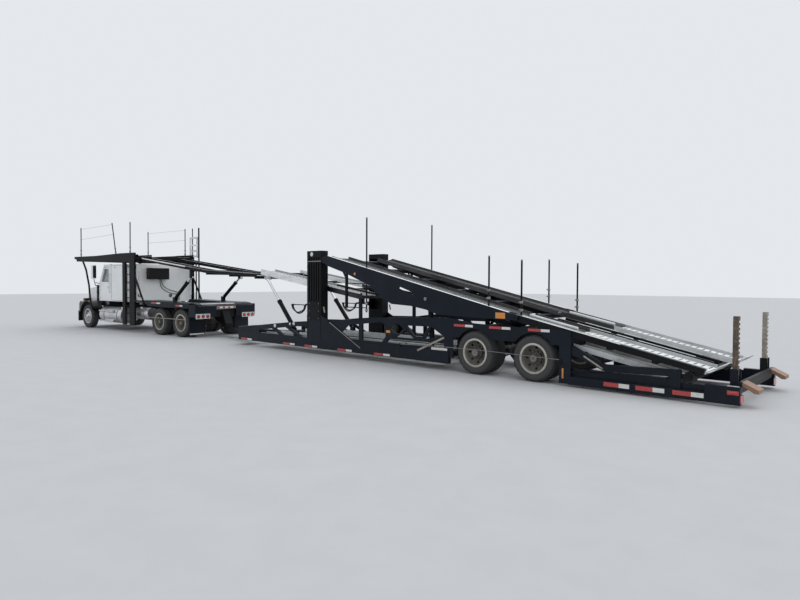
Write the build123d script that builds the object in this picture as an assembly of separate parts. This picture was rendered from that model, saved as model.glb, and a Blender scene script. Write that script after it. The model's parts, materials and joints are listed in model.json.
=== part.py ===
"""Car transporter: a tractor with a rack over its cab and a two-axle trailer, parked with its decks lowered.

Millimetres. The trailer lies along +X with the tractor in front, +Y is the driver's side, +Z is up.
The trailer is modelled from the ground point below its rear axle, and the tractor from the ground
point below the hitch, in a frame of its own that is turned by the yaw at which it stands.
"""

from build123d import *
from math import atan2, degrees, hypot
import os

# Overall sizes
HALF_WIDTH = 1295.0
HITCH_X = 13000.0
TRACTOR_YAW = 5.1
RUN = 0.3                   # running clearance beside a pin, a bore or a seat

# Trailer wheels
TRAILER_AXLES_X = (1390.0, 0.0)
TRAILER_TYRE_R = 460.0
TRAILER_TYRE_W = 255.0
TRAILER_TWIN = 292.0        # distance between the two tyres of a twin wheel
TRAILER_OUTER_Y = HALF_WIDTH - 155.0  # middle of the outer tyre
TRAILER_RIM_R = 286.0

# Tractor wheels
FRONT_AXLE_X = 7900.0
DRIVE_AXLES_X = (2355.0, 1005.0)
TRACTOR_TYRE_R = 492.0
TRACTOR_TYRE_W = 275.0
DRIVE_TWIN = 320.0
DRIVE_OUTER_Y = HALF_WIDTH - 185.0
FRONT_WHEEL_Y = HALF_WIDTH - 260.0
TRACTOR_RIM_R = 290.0
RIM_LIP = 18.0              # height of the rim's flange over its bead seat
HUB_R = 122.0
AXLE_R = 50.0               # end of a fixed axle, on which the wheels turn
STUB_R = 38.0               # steered stub axle
KING_PIN_Y = FRONT_WHEEL_Y - 205.0
KING_PIN_R = 24.0

# Trailer frame
SILL_Z = (165.0, 440.0)
SILL_T = 70.0
SILL_X = (2060.0, 10180.0)
PLATE_T = 16.0
PLATE_Y = HALF_WIDTH - 27.0  # outer face of the truss and of the plates over the wheels
PLATE_TOP = 1060.0
ARCH_GAP = 46.0
TOWER_X = (6330.0, 6910.0)
TOWER_Y = (HALF_WIDTH - 240.0, HALF_WIDTH)
TOWER_TOP = 2780.0
TOWER_CAP_H = 135.0
SPINE_Y = (430.0, 520.0)
SPINE_Z = (640.0, 820.0)
SPINE_X = (-800.0, 2400.0)
TAIL_RAIL_Z = (45.0, 200.0)
TAIL_X = -3630.0
TAIL_SILL_Z = (290.0, 400.0)
TONGUE_W = 150.0
TONGUE_Z = (190.0, 330.0)
HITCH_PIN_R = 50.0
HITCH_SOCKET_R = 120.0

# Main deck, tail deck and bridge deck: places are (x, z)
DECK_TRACK_Y = (560.0, HALF_WIDTH - 125.0)
TRACK_T = 45.0
TRACK_LIP = 60.0
ARM_T = 16.0
ARM_Y = HALF_WIDTH          # outer face of the side arms
FLANGE_T = 30.0
FLANGE_W = 95.0
MAIN_PIVOT = (6240.0, 2520.0)
MAIN_FRONT = (6330.0, 2690.0)
KNEE = (400.0, 1250.0)
KNEE_TOP = 1310.0
MAIN_TRACK_DROP = 94.0      # underside of the tracks below the arms' upper edge
MAIN_BEAM = (45.0, 85.0)    # half width and depth of a cross beam
TAIL_END = (-3080.0, 560.0)
TAIL_TRACK_DROP = 92.0
TAIL_BEAM = (40.0, 60.0)
TAIL_RAIL_Y = (HALF_WIDTH - 110.0, HALF_WIDTH - 48.0)
PIN_R = 32.0
BOSS_R = 62.0
BRIDGE_REAR = (5080.0, 1560.0)
BRIDGE_FRONT = (9480.0, 2235.0)
BRIDGE_PIN = (5080.0, 1470.0)
BRIDGE_TRACK_Y = (480.0, HALF_WIDTH - 285.0)
BRIDGE_RAIL = (60.0, 60.0)  # width and depth

# Lift cylinders: pin on the frame, pin on the deck, middle in y, barrel's length, start of the rod
MAIN_CYLINDER = ((2640.0, 440.0), (2720.0, 1570.0), HALF_WIDTH - 175.0, 1000.0, 118.0)
BRIDGE_CYLINDER = ((7640.0, 520.0), (9060.0, 2070.0), HALF_WIDTH - 205.0, 1180.0, 480.0)
TRACTOR_CYLINDER = ((1640.0, 1330.0), (600.0, 2120.0), HALF_WIDTH - 265.0, 980.0, 350.0)
BARREL_R = 62.0
BARREL_START = 95.0         # distance of the barrel's foot from its pin
ROD_R = 34.0
NECK_R = 30.0
EYE_W = 70.0
FOOT_EYE_R = 54.0
ROD_EYE_R = 70.0
EYE_PIN_R = 22.0            # the deck's pin, loose in the rod's eye
EYE_PLAY = 28.0
EAR_T = 22.0
EAR_GAP = 3.0
EAR_REACH = 60.0

# Poles on the decks: x, foot z, top z
POLE_R = 19.0
MAIN_POLES = ((4637.0, 1200.0, 3540.0), (1036.0, 1420.0, 2500.0))
TAIL_POLES = ((293.0, 1275.0, 2400.0),)

# Tail posts and end ramps
POST_PIVOT = (-3500.0, 520.0)
POST_H = 900.0
POST_Y = HALF_WIDTH - 275.0
POST_SIZE = (76.0, 120.0)
POST_NOTCHES = 10
NOTCH_PITCH = 76.0

# Tractor frame and cab, in the tractor's frame
RAIL_Y = 430.0
RAIL_W = 85.0
RAIL_Z = (700.0, 960.0)
RAIL_X = (120.0, 8430.0)
CAB_Y = HALF_WIDTH - 115.0
SLEEPER_Y = CAB_Y + 20.0
CAB_FLOOR_Z = 1160.0
CAB_ROOF_Z = 2620.0
CAB_X = (5900.0, 6840.0)
SLEEPER_X = (3960.0, CAB_X[0])
WALL = 55.0
GLASS_T = 8.0
DOOR_X = (5975.0, 6790.0)
DOOR_Z = (1185.0, CAB_ROOF_Z - 100.0)
DOOR_GAP = 7.0
DOOR_HINGE = (DOOR_X[1] - DOOR_GAP / 2, CAB_Y + 15.0)
DOOR_HINGES_Z = (1330.0, 1600.0)
HINGE_R = 15.0
HINGE_PIN_R = 8.0
SCREEN_TOP_X = 6440.0
SCREEN_FOOT_Z = 1900.0
HOOD_X = (6860.0, 8600.0)
HOOD_Z = (1000.0, 1860.0)
HOOD_HALF = HALF_WIDTH - 505.0
HOOD_T = 22.0
HOOD_PIVOT = (8560.0, 700.0)
HOOD_PIN_R = 20.0
FENDER_Y = HALF_WIDTH - 95.0
FENDER_GAP = 130.0
FENDER_FOOT_Z = 640.0
GRILLE_Y = HOOD_HALF - 230.0
GRILLE_Z = (1030.0, 1480.0)
BUMPER_X = (8640.0, 8790.0)
BUMPER_Z = (270.0, 700.0)

# Rack over the cab and the tractor's own deck
RACK_Y = (HALF_WIDTH - 70.0, HALF_WIDTH)
RACK_X = (3920.0, 8740.0)
RACK_TRACK_Z = CAB_ROOF_Z + 255.0
RACK_TRACK_Y = (560.0, HALF_WIDTH - 175.0)
RACK_BEAM_Z = (RACK_TRACK_Z - 85.0, RACK_TRACK_Z + 5.0)
REAR_POSTS_X = ((4600.0, 4800.0), (3930.0, 4290.0))
FRONT_FOOT_X = (7230.0, 7290.0)
FRONT_FOOT_Z = (745.0, 825.0)
DECK_HINGE = (3860.0, RACK_TRACK_Z - 135.0)
DECK_BEND = (-350.0, 2235.0)
DECK_REAR = (-2950.0, 2090.0)
DECK_Y = (620.0, HALF_WIDTH - 195.0)

# Body over the drive wheels
BODY_Y = (640.0, HALF_WIDTH - 20.0)
BODY_X = (60.0, 3320.0)
BODY_FOOT_X = (1700.0, 1800.0)

# Tanks: (start x, end x, middle z, radius)
TANK_Y = HALF_WIDTH - 395.0
FUEL_TANK = (5100.0, 6780.0, 600.0, 320.0)
REAR_TANK = (3320.0, 4560.0, 725.0, 225.0)


def box(x, y, z):
    """A block between pairs of limits."""
    size = (x[1] - x[0], y[1] - y[0], z[1] - z[0])
    return Pos((x[0] + x[1]) / 2, (y[0] + y[1]) / 2, (z[0] + z[1]) / 2) * Box(*size)


def plate(points, y):
    """A side plate: an outline of (x, z) points between two widths."""
    outline = Polyline(*[(x, y[0], z) for x, z in points], close=True)
    return extrude(make_face(outline), amount=y[1] - y[0], dir=(0, 1, 0))


def slab(points, z):
    """A flat plate: an outline of (x, y) points between two heights."""
    outline = Polyline(*[(x, y, z[0]) for x, y in points], close=True)
    return extrude(make_face(outline), amount=z[1] - z[0], dir=(0, 0, 1))


def tube(start, end, radius):
    """A round bar from one point to another."""
    run = Vector(*end) - Vector(*start)
    at = Plane(origin=start, z_dir=run)
    return at * Cylinder(radius, run.length, align=(Align.CENTER, Align.CENTER, Align.MIN))


def bar(start, end, width, depth):
    """A rectangular bar from one point to another, its width level, its depth upright."""
    run = Vector(*end) - Vector(*start)
    side = Vector(0, 0, 1).cross(run) if hypot(run.X, run.Y) > 1 else Vector(0, 1, 0)
    at = Plane(origin=start, x_dir=side, z_dir=run)
    return at * Box(width, depth, run.length, align=(Align.CENTER, Align.CENTER, Align.MIN))


def pin(x, z, y, radius):
    """A round pin across the vehicle between two widths."""
    return tube((x, y[0], z), (x, y[1], z), radius)


def post(x, y, z, radius):
    """An upright round bar between two heights."""
    return tube((x, y, z[0]), (x, y, z[1]), radius)


def across(half):
    """The limits of a piece that reaches equally far to both sides."""
    return (-half, half)


def other_side(shape):
    """The same piece on the other side of the centre line."""
    return mirror(shape, about=Plane.XZ)


def both_sides(shape):
    """A piece and its mirror image as one list."""
    return [shape, other_side(shape)]


def joined(shapes):
    """Several shapes as one solid."""
    first, *rest = shapes
    return first.fuse(*rest) if rest else first


def group(shapes):
    """Solids that don't touch, kept in one node."""
    return Compound([s for shape in shapes for s in shape.solids()])


def along(start, end, share):
    """The point at a share of the way between two (x, z) points."""
    return (start[0] + (end[0] - start[0]) * share, start[1] + (end[1] - start[1]) * share)


def toward(start, end, distance):
    """The (x, z) point at a distance from the start on the way to the end."""
    return along(start, end, distance / hypot(end[0] - start[0], end[1] - start[1]))


def height_at(start, end, x):
    """Height at x of the straight line through two (x, z) points."""
    return start[1] + (end[1] - start[1]) * (x - start[0]) / (end[0] - start[0])


def offset_line(start, end, distance):
    """Two (x, z) points moved square to their line, upwards for a positive distance."""
    length = hypot(end[0] - start[0], end[1] - start[1])
    nx, nz = -(end[1] - start[1]) / length, (end[0] - start[0]) / length
    if nz < 0:
        nx, nz = -nx, -nz
    return [(x + nx * distance, z + nz * distance) for x, z in (start, end)]


def cross_beam(line, x, drop, size, half):
    """A cross beam under a sloping deck, its top parallel to the slope and flush under the tracks."""
    half_width, depth = size
    x0, x1 = x - half_width, x + half_width
    z0, z1 = line(x0) - drop, line(x1) - drop
    return plate([(x0, z0), (x1, z1), (x1, z1 - depth), (x0, z0 - depth)], across(half))


def revolved(points, x, y, z):
    """A wheel part: (radius, width) points turned about an axle at x, z with its middle at y."""
    outline = Polyline(*[(r, w) for r, w in points], close=True)
    return Pos(x, y, z) * revolve(make_face(outline), axis=Axis.Y)


def tyre(x, y, z, radius, width, rim_r):
    """A tyre: flat tread, sloped shoulders and bead seats outside the rim's flanges."""
    half, seat = width / 2, width * 0.38
    side = [(rim_r + 4, seat), (rim_r + RIM_LIP + 4, seat), (radius * 0.8, half), (radius - 26, half * 0.96),
            (radius, half * 0.74)]
    return revolved([(r, -w) for r, w in side] + side[::-1], x, y, z)


def rim(x, y, z, radius, width, dish, facing):
    """A steel disc wheel: a rim band with a dished centre and hand holes."""
    seat, wall, flange, fall = width * 0.38, 22.0, 12.0, 60.0
    lip = radius + RIM_LIP
    side = [(radius - wall, seat + flange), (lip, seat + flange), (lip, seat), (radius + 4, seat)]
    band = revolved([(r, -w) for r, w in side] + side[::-1], x, y, z)
    near, far = dish - 9, dish + 9
    disc = revolved([(HUB_R - 2, near), (HUB_R - 2, far), (radius - 20, far - fall * facing),
                     (radius - 20, near - fall * facing)], x, y, z)
    hand_hole = Pos(radius * 0.72, 0, 0) * Rot(90, 0, 0) * Cylinder(26, 2 * width)
    disc = disc - [Pos(x, y, z) * Rot(0, 360 / 8 * n, 0) * hand_hole for n in range(8)]
    return band.fuse(disc)


def twin_wheel(x, z, outer_y, spacing, radius, width, rim_r):
    """A twin wheel on the left side: two tyres, and the rims with their hub."""
    tyres = [tyre(x, outer_y - n * spacing, z, radius, width, rim_r) for n in range(2)]
    outer = rim(x, outer_y, z, rim_r, width, -60, -1)
    inner = rim(x, outer_y - spacing, z, rim_r, width, 60, 1)
    half, bore = spacing / 2, AXLE_R + RUN
    centre = revolved([(bore, -half - 60), (HUB_R, -half), (HUB_R, half + 10), (92, half + 40), (80, half + 110),
                       (0, half + 110), (0, half + 60), (bore, half + 60)], x, outer_y - half, z)
    return group(tyres), joined([outer, inner, centre])


def front_wheel():
    """The steered wheel on the left side: one tyre, and its rim with the hub."""
    x, y, z = FRONT_AXLE_X, FRONT_WHEEL_Y, TRACTOR_TYRE_R
    one = rim(x, y, z, TRACTOR_RIM_R, TRACTOR_TYRE_W, 70, 1)
    bore = STUB_R + RUN
    centre = revolved([(bore, -60), (HUB_R, 0), (HUB_R, 84), (90, 110), (72, 150), (0, 150), (0, 100), (bore, 100)],
                      x, y, z)
    return tyre(x, y, z, TRACTOR_TYRE_R, TRACTOR_TYRE_W, TRACTOR_RIM_R), one.fuse(centre)


def deck_track(start, end, y):
    """A wheel track between two (x, z) points: a channel with an upright lip on each side."""
    top = offset_line(start, end, TRACK_T)
    low = plate([start, end, top[1], top[0]], y)
    lip = offset_line(start, end, TRACK_T + TRACK_LIP)
    edges = [plate([start, end, lip[1], lip[0]], (a, a + 14)) for a in (y[0], y[1] - 14)]
    return joined([low, *edges])


def barrel(frame_pin, deck_pin, y, length, _rod_start):
    """A lift cylinder's barrel with the eye at its foot, open at its head for the rod."""
    def at(distance):
        x, z = toward(frame_pin, deck_pin, distance)
        return (x, y, z)
    lug = pin(*frame_pin, (y - EYE_W / 2, y + EYE_W / 2), FOOT_EYE_R)
    neck = tube(at(0), at(BARREL_START + 5), NECK_R)
    body = tube(at(BARREL_START), at(length), BARREL_R)
    collar = tube(at(length - 60), at(length + 8), BARREL_R + 8)
    bore = tube(at(BARREL_START + 12), at(length + 50), ROD_R + RUN)
    return joined([lug, neck, body, collar]) - bore - pin(*frame_pin, (y - EYE_W, y + EYE_W), PIN_R + RUN)


def rod(frame_pin, deck_pin, y, _length, rod_start):
    """A lift cylinder's rod with the wide eye at its top."""
    foot = toward(frame_pin, deck_pin, rod_start)
    stem = tube((foot[0], y, foot[1]), (deck_pin[0], y, deck_pin[1]), ROD_R)
    lug = pin(*deck_pin, (y - EYE_W / 2, y + EYE_W / 2), ROD_EYE_R)
    return stem.fuse(lug) - pin(*deck_pin, (y - EYE_W, y + EYE_W), EYE_PIN_R + EYE_PLAY)


def ears(x, z, y, limits, inside):
    """Two ears on both sides of an eye, between two heights."""
    return [box((x - EAR_REACH, x + EAR_REACH), sorted((y + s * inside / 2, y + s * (inside / 2 + EAR_T))), limits)
            for s in (-1, 1)]


def clevis(x, z, y, foot_z, inside=EYE_W + 2 * EAR_GAP):
    """Two ears and the pin that they hold, standing on what is at the foot's height."""
    half = inside / 2 + EAR_T
    return joined([*ears(x, z, y, (foot_z, z + EAR_REACH), inside), pin(x, z, (y - half, y + half), PIN_R)])


def main_line(x):
    """Height of the main deck's upper edge at x."""
    return height_at((KNEE[0], KNEE_TOP), MAIN_FRONT, x)


def tail_line(x):
    """Height of the tail deck's upper edge at x."""
    return height_at((KNEE[0], KNEE_TOP), TAIL_END, x)


def make_truss():
    """The left side's truss plate with its window openings, from the tower to the wheels."""
    truss = plate([(TOWER_X[0], SILL_Z[1] - 10), (TOWER_X[0], 960), (5140, 990), (4540, 1070), (3630, 1115),
                   (2400, 1165), (SILL_X[0], 1165), (SILL_X[0], SILL_Z[1] - 10)], (PLATE_Y - 46, PLATE_Y))
    windows = [
        [(5750, 500), (5300, 860), (4900, 900), (4900, 500)],
        [(4780, 500), (4780, 910), (4100, 985), (3980, 880), (3980, 640), (4100, 500)],
        [(3830, 860), (3700, 960), (3540, 960), (3420, 860), (3540, 740), (3700, 740)],
        [(3640, 650), (3080, 650), (3360, 850)],
        [(3300, 940), (2640, 950), (2830, 710), (3060, 710)],
        [(2560, 950), (2220, 760), (2760, 660)],
        [(3860, 600), (2200, 600), (2200, 500), (3960, 500)],
    ]
    for outline in windows:
        truss = truss - plate(outline, (PLATE_Y - 80, PLATE_Y + 30))
    return truss


def make_wheel_plate():
    """The left side's plate over the trailer's wheels, with its two arches."""
    y = (PLATE_Y - PLATE_T, PLATE_Y)
    over = plate([(SILL_X[0], 300), (SILL_X[0], 1165), (1400, 1085), (700, PLATE_TOP), (-600, PLATE_TOP), (-800, 1040),
                  (-800, 50), (-560, 50), (-560, 760), (1950, 760), (1950, 300)], y)
    for x in TRAILER_AXLES_X:
        over = over - pin(x, TRAILER_TYRE_R, (y[0] - 50, y[1] + 50), TRAILER_TYRE_R + ARCH_GAP)
    return over


def make_trailer_side():
    """The pieces of the trailer's left side, from the nose to the tail."""
    out = PLATE_Y
    tower_rear, tower_front = TOWER_X
    pieces = [box((SILL_X[0], tower_rear + 5), (out - SILL_T, out + 20), SILL_Z),
              box((tower_rear, SILL_X[1]), (out - SILL_T, out + 20), SILL_Z), make_truss(), make_wheel_plate()]
    # gusset that falls from the tower's foot to the sill
    gusset_front = tower_front + 12
    pieces.append(plate([(gusset_front, 300), (gusset_front, 1060), (tower_rear, 1060), (5180, 510), (4810, 430),
                         (4810, 300)], (out, HALF_WIDTH - 2)))
    # tail: the low rail with the lamps, the rail that falls from the wheels' plate and the blocks under it
    pieces.append(box((TAIL_X, -760), (out - 70, HALF_WIDTH), TAIL_RAIL_Z))
    pieces.append(plate([(-790, 620), (-790, 780), (-1450, 480), (-2740, 510), (-2740, 390), (-1450, 350)],
                        (out - 90, out - 20)))
    pieces.append(box((-2740, -2560), (out - 90, out - 20), (TAIL_RAIL_Z[1] - 10, 420)))
    pieces.append(box((TAIL_X, -3120), (out - 90, HALF_WIDTH - 3), (TAIL_RAIL_Z[1] - 10, TAIL_SILL_Z[1] - 70)))
    # front chord from the tower to the nose, and its two braces
    pieces.append(plate([(tower_front, 740), (tower_front, 880), (7580, 830), (9400, 640), (10310, 555),
                         (10310, SILL_Z[0]), (9200, SILL_Z[0]), (9200, 520), (7580, 700)], (out - 76, out)))
    for start, end in (((8600, 640), (8050, 400)), ((7900, 690), (7200, 400))):
        pieces.append(bar((start[0], out - 40, start[1]), (end[0], out - 40, end[1]), 60, 80))
    # spine rail over the axles, with its hanger
    pieces.append(box(SPINE_X, SPINE_Y, SPINE_Z))
    pieces.append(box((SPINE_X[1] - 80, SPINE_X[1]), SPINE_Y, (280, SPINE_Z[0] + 60)))
    return pieces


def make_trailer_frame():
    """The trailer's fixed structure: both sides, cross members, tongue, hitch socket and the pivots' brackets."""
    out = PLATE_Y
    shapes = []
    for piece in make_trailer_side():
        shapes += both_sides(piece)
    # cross members: x, z, radius
    main_foot, bridge_foot = MAIN_CYLINDER[0], BRIDGE_CYLINDER[0]
    for x, z, radius in ((9900, 300, 60), (8600, 300, 60), (bridge_foot[0], 300, 60), (6600, 300, 70), (5000, 300, 60),
                         (3600, 300, 60), (main_foot[0], 300, 60), (SPINE_X[1] - 40, 300, 50), (-2650, 270, 55),
                         (-3540, 240, 60)):
        shapes.append(pin(x, z, across(out - 30), radius))
    # cross beams over and between the wheels, and at the front end of the spine
    half = out - PLATE_T + 4
    for x, z in ((1950, (700, PLATE_TOP - 100)), (695, (SPINE_Z[1] - 10, PLATE_TOP - 100)), (-700, (700, 900))):
        shapes.append(box((x - 60, x + 60), across(half), z))
    shapes.append(box((SPINE_X[1] - 120, SPINE_X[1]), across(half), (SPINE_Z[0], SPINE_Z[0] + 120)))
    # tongue from the front cross members to the hitch, and the shoulders of the nose
    front = HITCH_X - 60
    shapes.append(slab([(9900, 900), (front, TONGUE_W / 2), (front, -TONGUE_W / 2), (9900, -900), (9900, -660),
                        (12300, -90), (12300, 90), (9900, 660)], TONGUE_Z))
    shapes += both_sides(slab([(SILL_X[1], out), (10500, 1000), (10380, 760), (9900, 760), (9900, out)], TONGUE_Z))
    socket_z = (TONGUE_Z[0], TONGUE_Z[1])
    shapes.append(post(HITCH_X, 0, socket_z, HITCH_SOCKET_R))
    # feet of the lift cylinders, pivots of the bridge deck, tail sill and pivots of the tail posts
    shapes += both_sides(clevis(*main_foot, MAIN_CYLINDER[2], 300))
    shapes += both_sides(clevis(*bridge_foot, BRIDGE_CYLINDER[2], 300))
    bracket = box((BRIDGE_PIN[0] - 50, BRIDGE_PIN[0] + 50), (BRIDGE_TRACK_Y[1] + 8, BRIDGE_TRACK_Y[1] + 48),
                  (300, BRIDGE_PIN[1] + 60))
    tie = box((BRIDGE_PIN[0] - 50, BRIDGE_PIN[0] + 50), (BRIDGE_TRACK_Y[1] + 8, out - 20), (880, 960))
    carrier = pin(*BRIDGE_PIN, (BRIDGE_TRACK_Y[1] - 55, BRIDGE_TRACK_Y[1] + 20), PIN_R)
    shapes += both_sides(joined([bracket, tie, carrier]))
    shapes.append(box((TAIL_X, TAIL_X + 60), across(out - 90), TAIL_SILL_Z))
    shapes += both_sides(clevis(*POST_PIVOT, POST_Y, 260, inside=POST_SIZE[1] + 16))
    frame = joined(shapes)
    return frame - post(HITCH_X, 0, (0, 2 * TONGUE_Z[1]), HITCH_PIN_R + RUN)


def make_towers():
    """The two front towers: boxes with deep ribs, a cap and the pin that carries the main deck."""
    x, y = TOWER_X, TOWER_Y
    neck_z = TOWER_TOP - TOWER_CAP_H
    body = box(x, y, (SILL_Z[0] + 5, TOWER_TOP))
    body = body - box((x[0] + 60, x[1] - 60), (y[0] - 5, y[0] + 150), (1150, neck_z))
    ribs = [box((x[0] + 70 + n * 96, x[0] + 118 + n * 96), (y[1] - 20, y[1] + 5), (1080, neck_z - 40)) for n in range(5)]
    body = body - ribs
    body = body - box((x[0] - 5, x[1] + 5), (PLATE_Y - SILL_T, y[1] + 5), (SILL_Z[0] - 5, SILL_Z[1]))
    body = body - box((x[0] - 5, x[1] + 5), (PLATE_Y, y[1] + 5), (SILL_Z[1] - 150, 1060))
    body = body - pin(6600, 300, (y[0] - 10, y[1]), 70 + RUN)
    lug = plate([(x[0] + 5, MAIN_PIVOT[1] - 110), (MAIN_PIVOT[0] - 60, MAIN_PIVOT[1] - 60),
                 (MAIN_PIVOT[0] - 60, MAIN_PIVOT[1] + 60), (x[0] + 5, MAIN_PIVOT[1] + 110)], (ARM_Y - 165, ARM_Y - 125))
    lug = lug.fuse(pin(*MAIN_PIVOT, (ARM_Y - 170, ARM_Y - 4), PIN_R))
    return group(both_sides(body.fuse(lug)))


def make_main_deck():
    """The long upper deck's side arms, its cross beams, its poles and the bosses at both ends."""
    front, rear = (6100, main_line(6100)), (KNEE[0], KNEE_TOP)
    outline = [front, (MAIN_PIVOT[0] + 60, 2600), (MAIN_PIVOT[0] + 75, 2500), (6110, 2380), (5370, 2170), (4870, 1990),
               (4460, 1850), (4380, 1750), (3980, 1520), (3760, 1430), (3150, 1400), (2700, 1330), (2400, 1240),
               (1230, 1200), (KNEE[0] - 60, 1195), (KNEE[0] - 60, 1290), rear]
    arm = plate(outline, (ARM_Y - ARM_T, ARM_Y))
    arm = arm - plate([(3520, 1800), (3500, 1840), (3060, 1700), (3080, 1650)], (ARM_Y - 60, ARM_Y + 60))
    top = [front, (KNEE[0] + 150, main_line(KNEE[0] + 150))]
    low = offset_line(*top, -FLANGE_T)
    flange = plate([top[0], top[1], low[1], low[0]], (ARM_Y - FLANGE_W, ARM_Y))
    bosses = [pin(*MAIN_PIVOT, (ARM_Y - 40, ARM_Y), BOSS_R + 18), pin(*KNEE, (ARM_Y - 40, ARM_Y), BOSS_R)]
    arm = joined([arm, flange, *bosses])
    for place in (MAIN_PIVOT, KNEE):
        arm = arm - pin(*place, (ARM_Y - 100, ARM_Y + 100), PIN_R + RUN)
    # ears on the cross beam for the lift cylinder's rod, and their pin to the arm
    eye, y = MAIN_CYLINDER[1], MAIN_CYLINDER[2]
    inside = EYE_W + 2 * EAR_GAP
    shapes = both_sides(joined([arm, pin(*eye, (y - inside / 2 - EAR_T, ARM_Y - 2), EYE_PIN_R)]))
    for ear in ears(*eye, y, (eye[1] - EAR_REACH, eye[1] + 150), inside):
        shapes += both_sides(ear)
    for x in (6020, 5000, 3900, 2790, 1700, 560):
        shapes.append(cross_beam(main_line, x, MAIN_TRACK_DROP, MAIN_BEAM, ARM_Y - 5))
    for x, foot, head in MAIN_POLES:
        shapes += both_sides(post(x, ARM_Y - ARM_T - POLE_R + 2, (foot, head), POLE_R))
    return joined(shapes)


def make_main_tracks():
    """The main deck's two wheel tracks."""
    ends = [(x, main_line(x) - MAIN_TRACK_DROP) for x in (KNEE[0] + 40, 6060)]
    return group(both_sides(deck_track(*ends, DECK_TRACK_Y)))


def make_tail_deck():
    """The tail deck's side rails, cross beams and poles."""
    front, rear = KNEE[0] + 70, TAIL_END[0]
    rail = plate([(front, 1285), (front, 1205), (KNEE[0] - 135, 1140), (rear, tail_line(rear) - 95),
                  (rear - 30, tail_line(rear)), (KNEE[0] - 75, tail_line(KNEE[0] - 75))], TAIL_RAIL_Y)
    shapes = both_sides(rail.fuse(pin(*KNEE, (TAIL_RAIL_Y[1] - 4, ARM_Y - 2), PIN_R)))
    for x in (60, -700, -1500, -2300, -2990):
        shapes.append(cross_beam(tail_line, x, TAIL_TRACK_DROP, TAIL_BEAM, TAIL_RAIL_Y[1] - 20))
    for x, foot, head in TAIL_POLES:
        shapes += both_sides(post(x, sum(TAIL_RAIL_Y) / 2, (foot, head), POLE_R))
    return joined(shapes)


def make_tail_tracks():
    """The tail deck's two wheel tracks."""
    ends = [(x, tail_line(x) - TAIL_TRACK_DROP) for x in (TAIL_END[0] - 20, KNEE[0] - 40)]
    return group(both_sides(deck_track(*ends, DECK_TRACK_Y)))


def make_bridge_deck():
    """The front upper deck, which bridges to the tractor: two light tracks on a frame."""
    y = BRIDGE_TRACK_Y
    width, depth = BRIDGE_RAIL
    track = deck_track(BRIDGE_REAR, BRIDGE_FRONT, y)
    under = offset_line(BRIDGE_REAR, BRIDGE_FRONT, -depth)
    rail = plate([BRIDGE_REAR, BRIDGE_FRONT, under[1], under[0]], (y[1] - width, y[1]))
    eye = BRIDGE_CYLINDER[1]
    ear = box((eye[0] - EAR_REACH, eye[0] + EAR_REACH), (y[1] - 40, y[1] - 10), (eye[1] - EAR_REACH, eye[1] + 90))
    knob = pin(*eye, (y[1] - 40, BRIDGE_CYLINDER[2] + EYE_W / 2 + 5), EYE_PIN_R)
    foot = box((BRIDGE_PIN[0] - 60, BRIDGE_PIN[0] + 60), (y[1] - width, y[1]), (BRIDGE_PIN[1] - 50, BRIDGE_REAR[1] + 20))
    foot = foot - pin(*BRIDGE_PIN, (0, HALF_WIDTH), PIN_R + RUN)
    shapes = both_sides(joined([track, rail, ear, knob, foot]))
    for share in (0.02, 0.3, 0.6, 0.97):
        x, z = along(BRIDGE_REAR, BRIDGE_FRONT, share)
        shapes.append(box((x - 40, x + 40), across(y[1] - 5), (z - 50, z + 20)))
    return joined(shapes)


def make_tail_post():
    """The left upright notched post at the trailer's rear end."""
    x, z = POST_PIVOT
    length, width = POST_SIZE
    y = (POST_Y - width / 2, POST_Y + width / 2)
    body = box((x - length / 2, x + length / 2), y, (z - 40, z + POST_H))
    notch = box((x - length / 2 - 2, x - length / 2 + 16), (y[0] - 1, y[1] + 1), (z + 110, z + 146))
    body = body - [Pos(0, 0, n * NOTCH_PITCH) * notch for n in range(POST_NOTCHES)]
    return body - pin(x, z, (y[0] - 30, y[1] + 30), PIN_R + RUN)


def make_end_ramps():
    """The two short ramps behind the tail sill."""
    x, z = TAIL_X, TAIL_SILL_Z[1]
    ramp = plate([(x, z), (x, z - 55), (x - 170, z - 165), (x - 230, z - 165), (x - 230, z - 110)], (POST_Y - 160, POST_Y + 150))
    return group(both_sides(ramp))


def make_trailer_axles():
    """The trailer's two axle tubes on their suspension blocks."""
    shapes = []
    end = TRAILER_OUTER_Y - TRAILER_TWIN + 180
    for x in TRAILER_AXLES_X:
        stub = pin(x, TRAILER_TYRE_R, across(end), AXLE_R)
        tube_part = pin(x, TRAILER_TYRE_R, across(TRAILER_OUTER_Y - TRAILER_TWIN - 148), AXLE_R + 15)
        block = box((x - 90, x + 90), (SPINE_Y[0] + 5, SPINE_Y[1] - 5), (TRAILER_TYRE_R - 40, SPINE_Z[0]))
        shapes.append(joined([tube_part, stub, *both_sides(block)]))
    return group(shapes)


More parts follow.
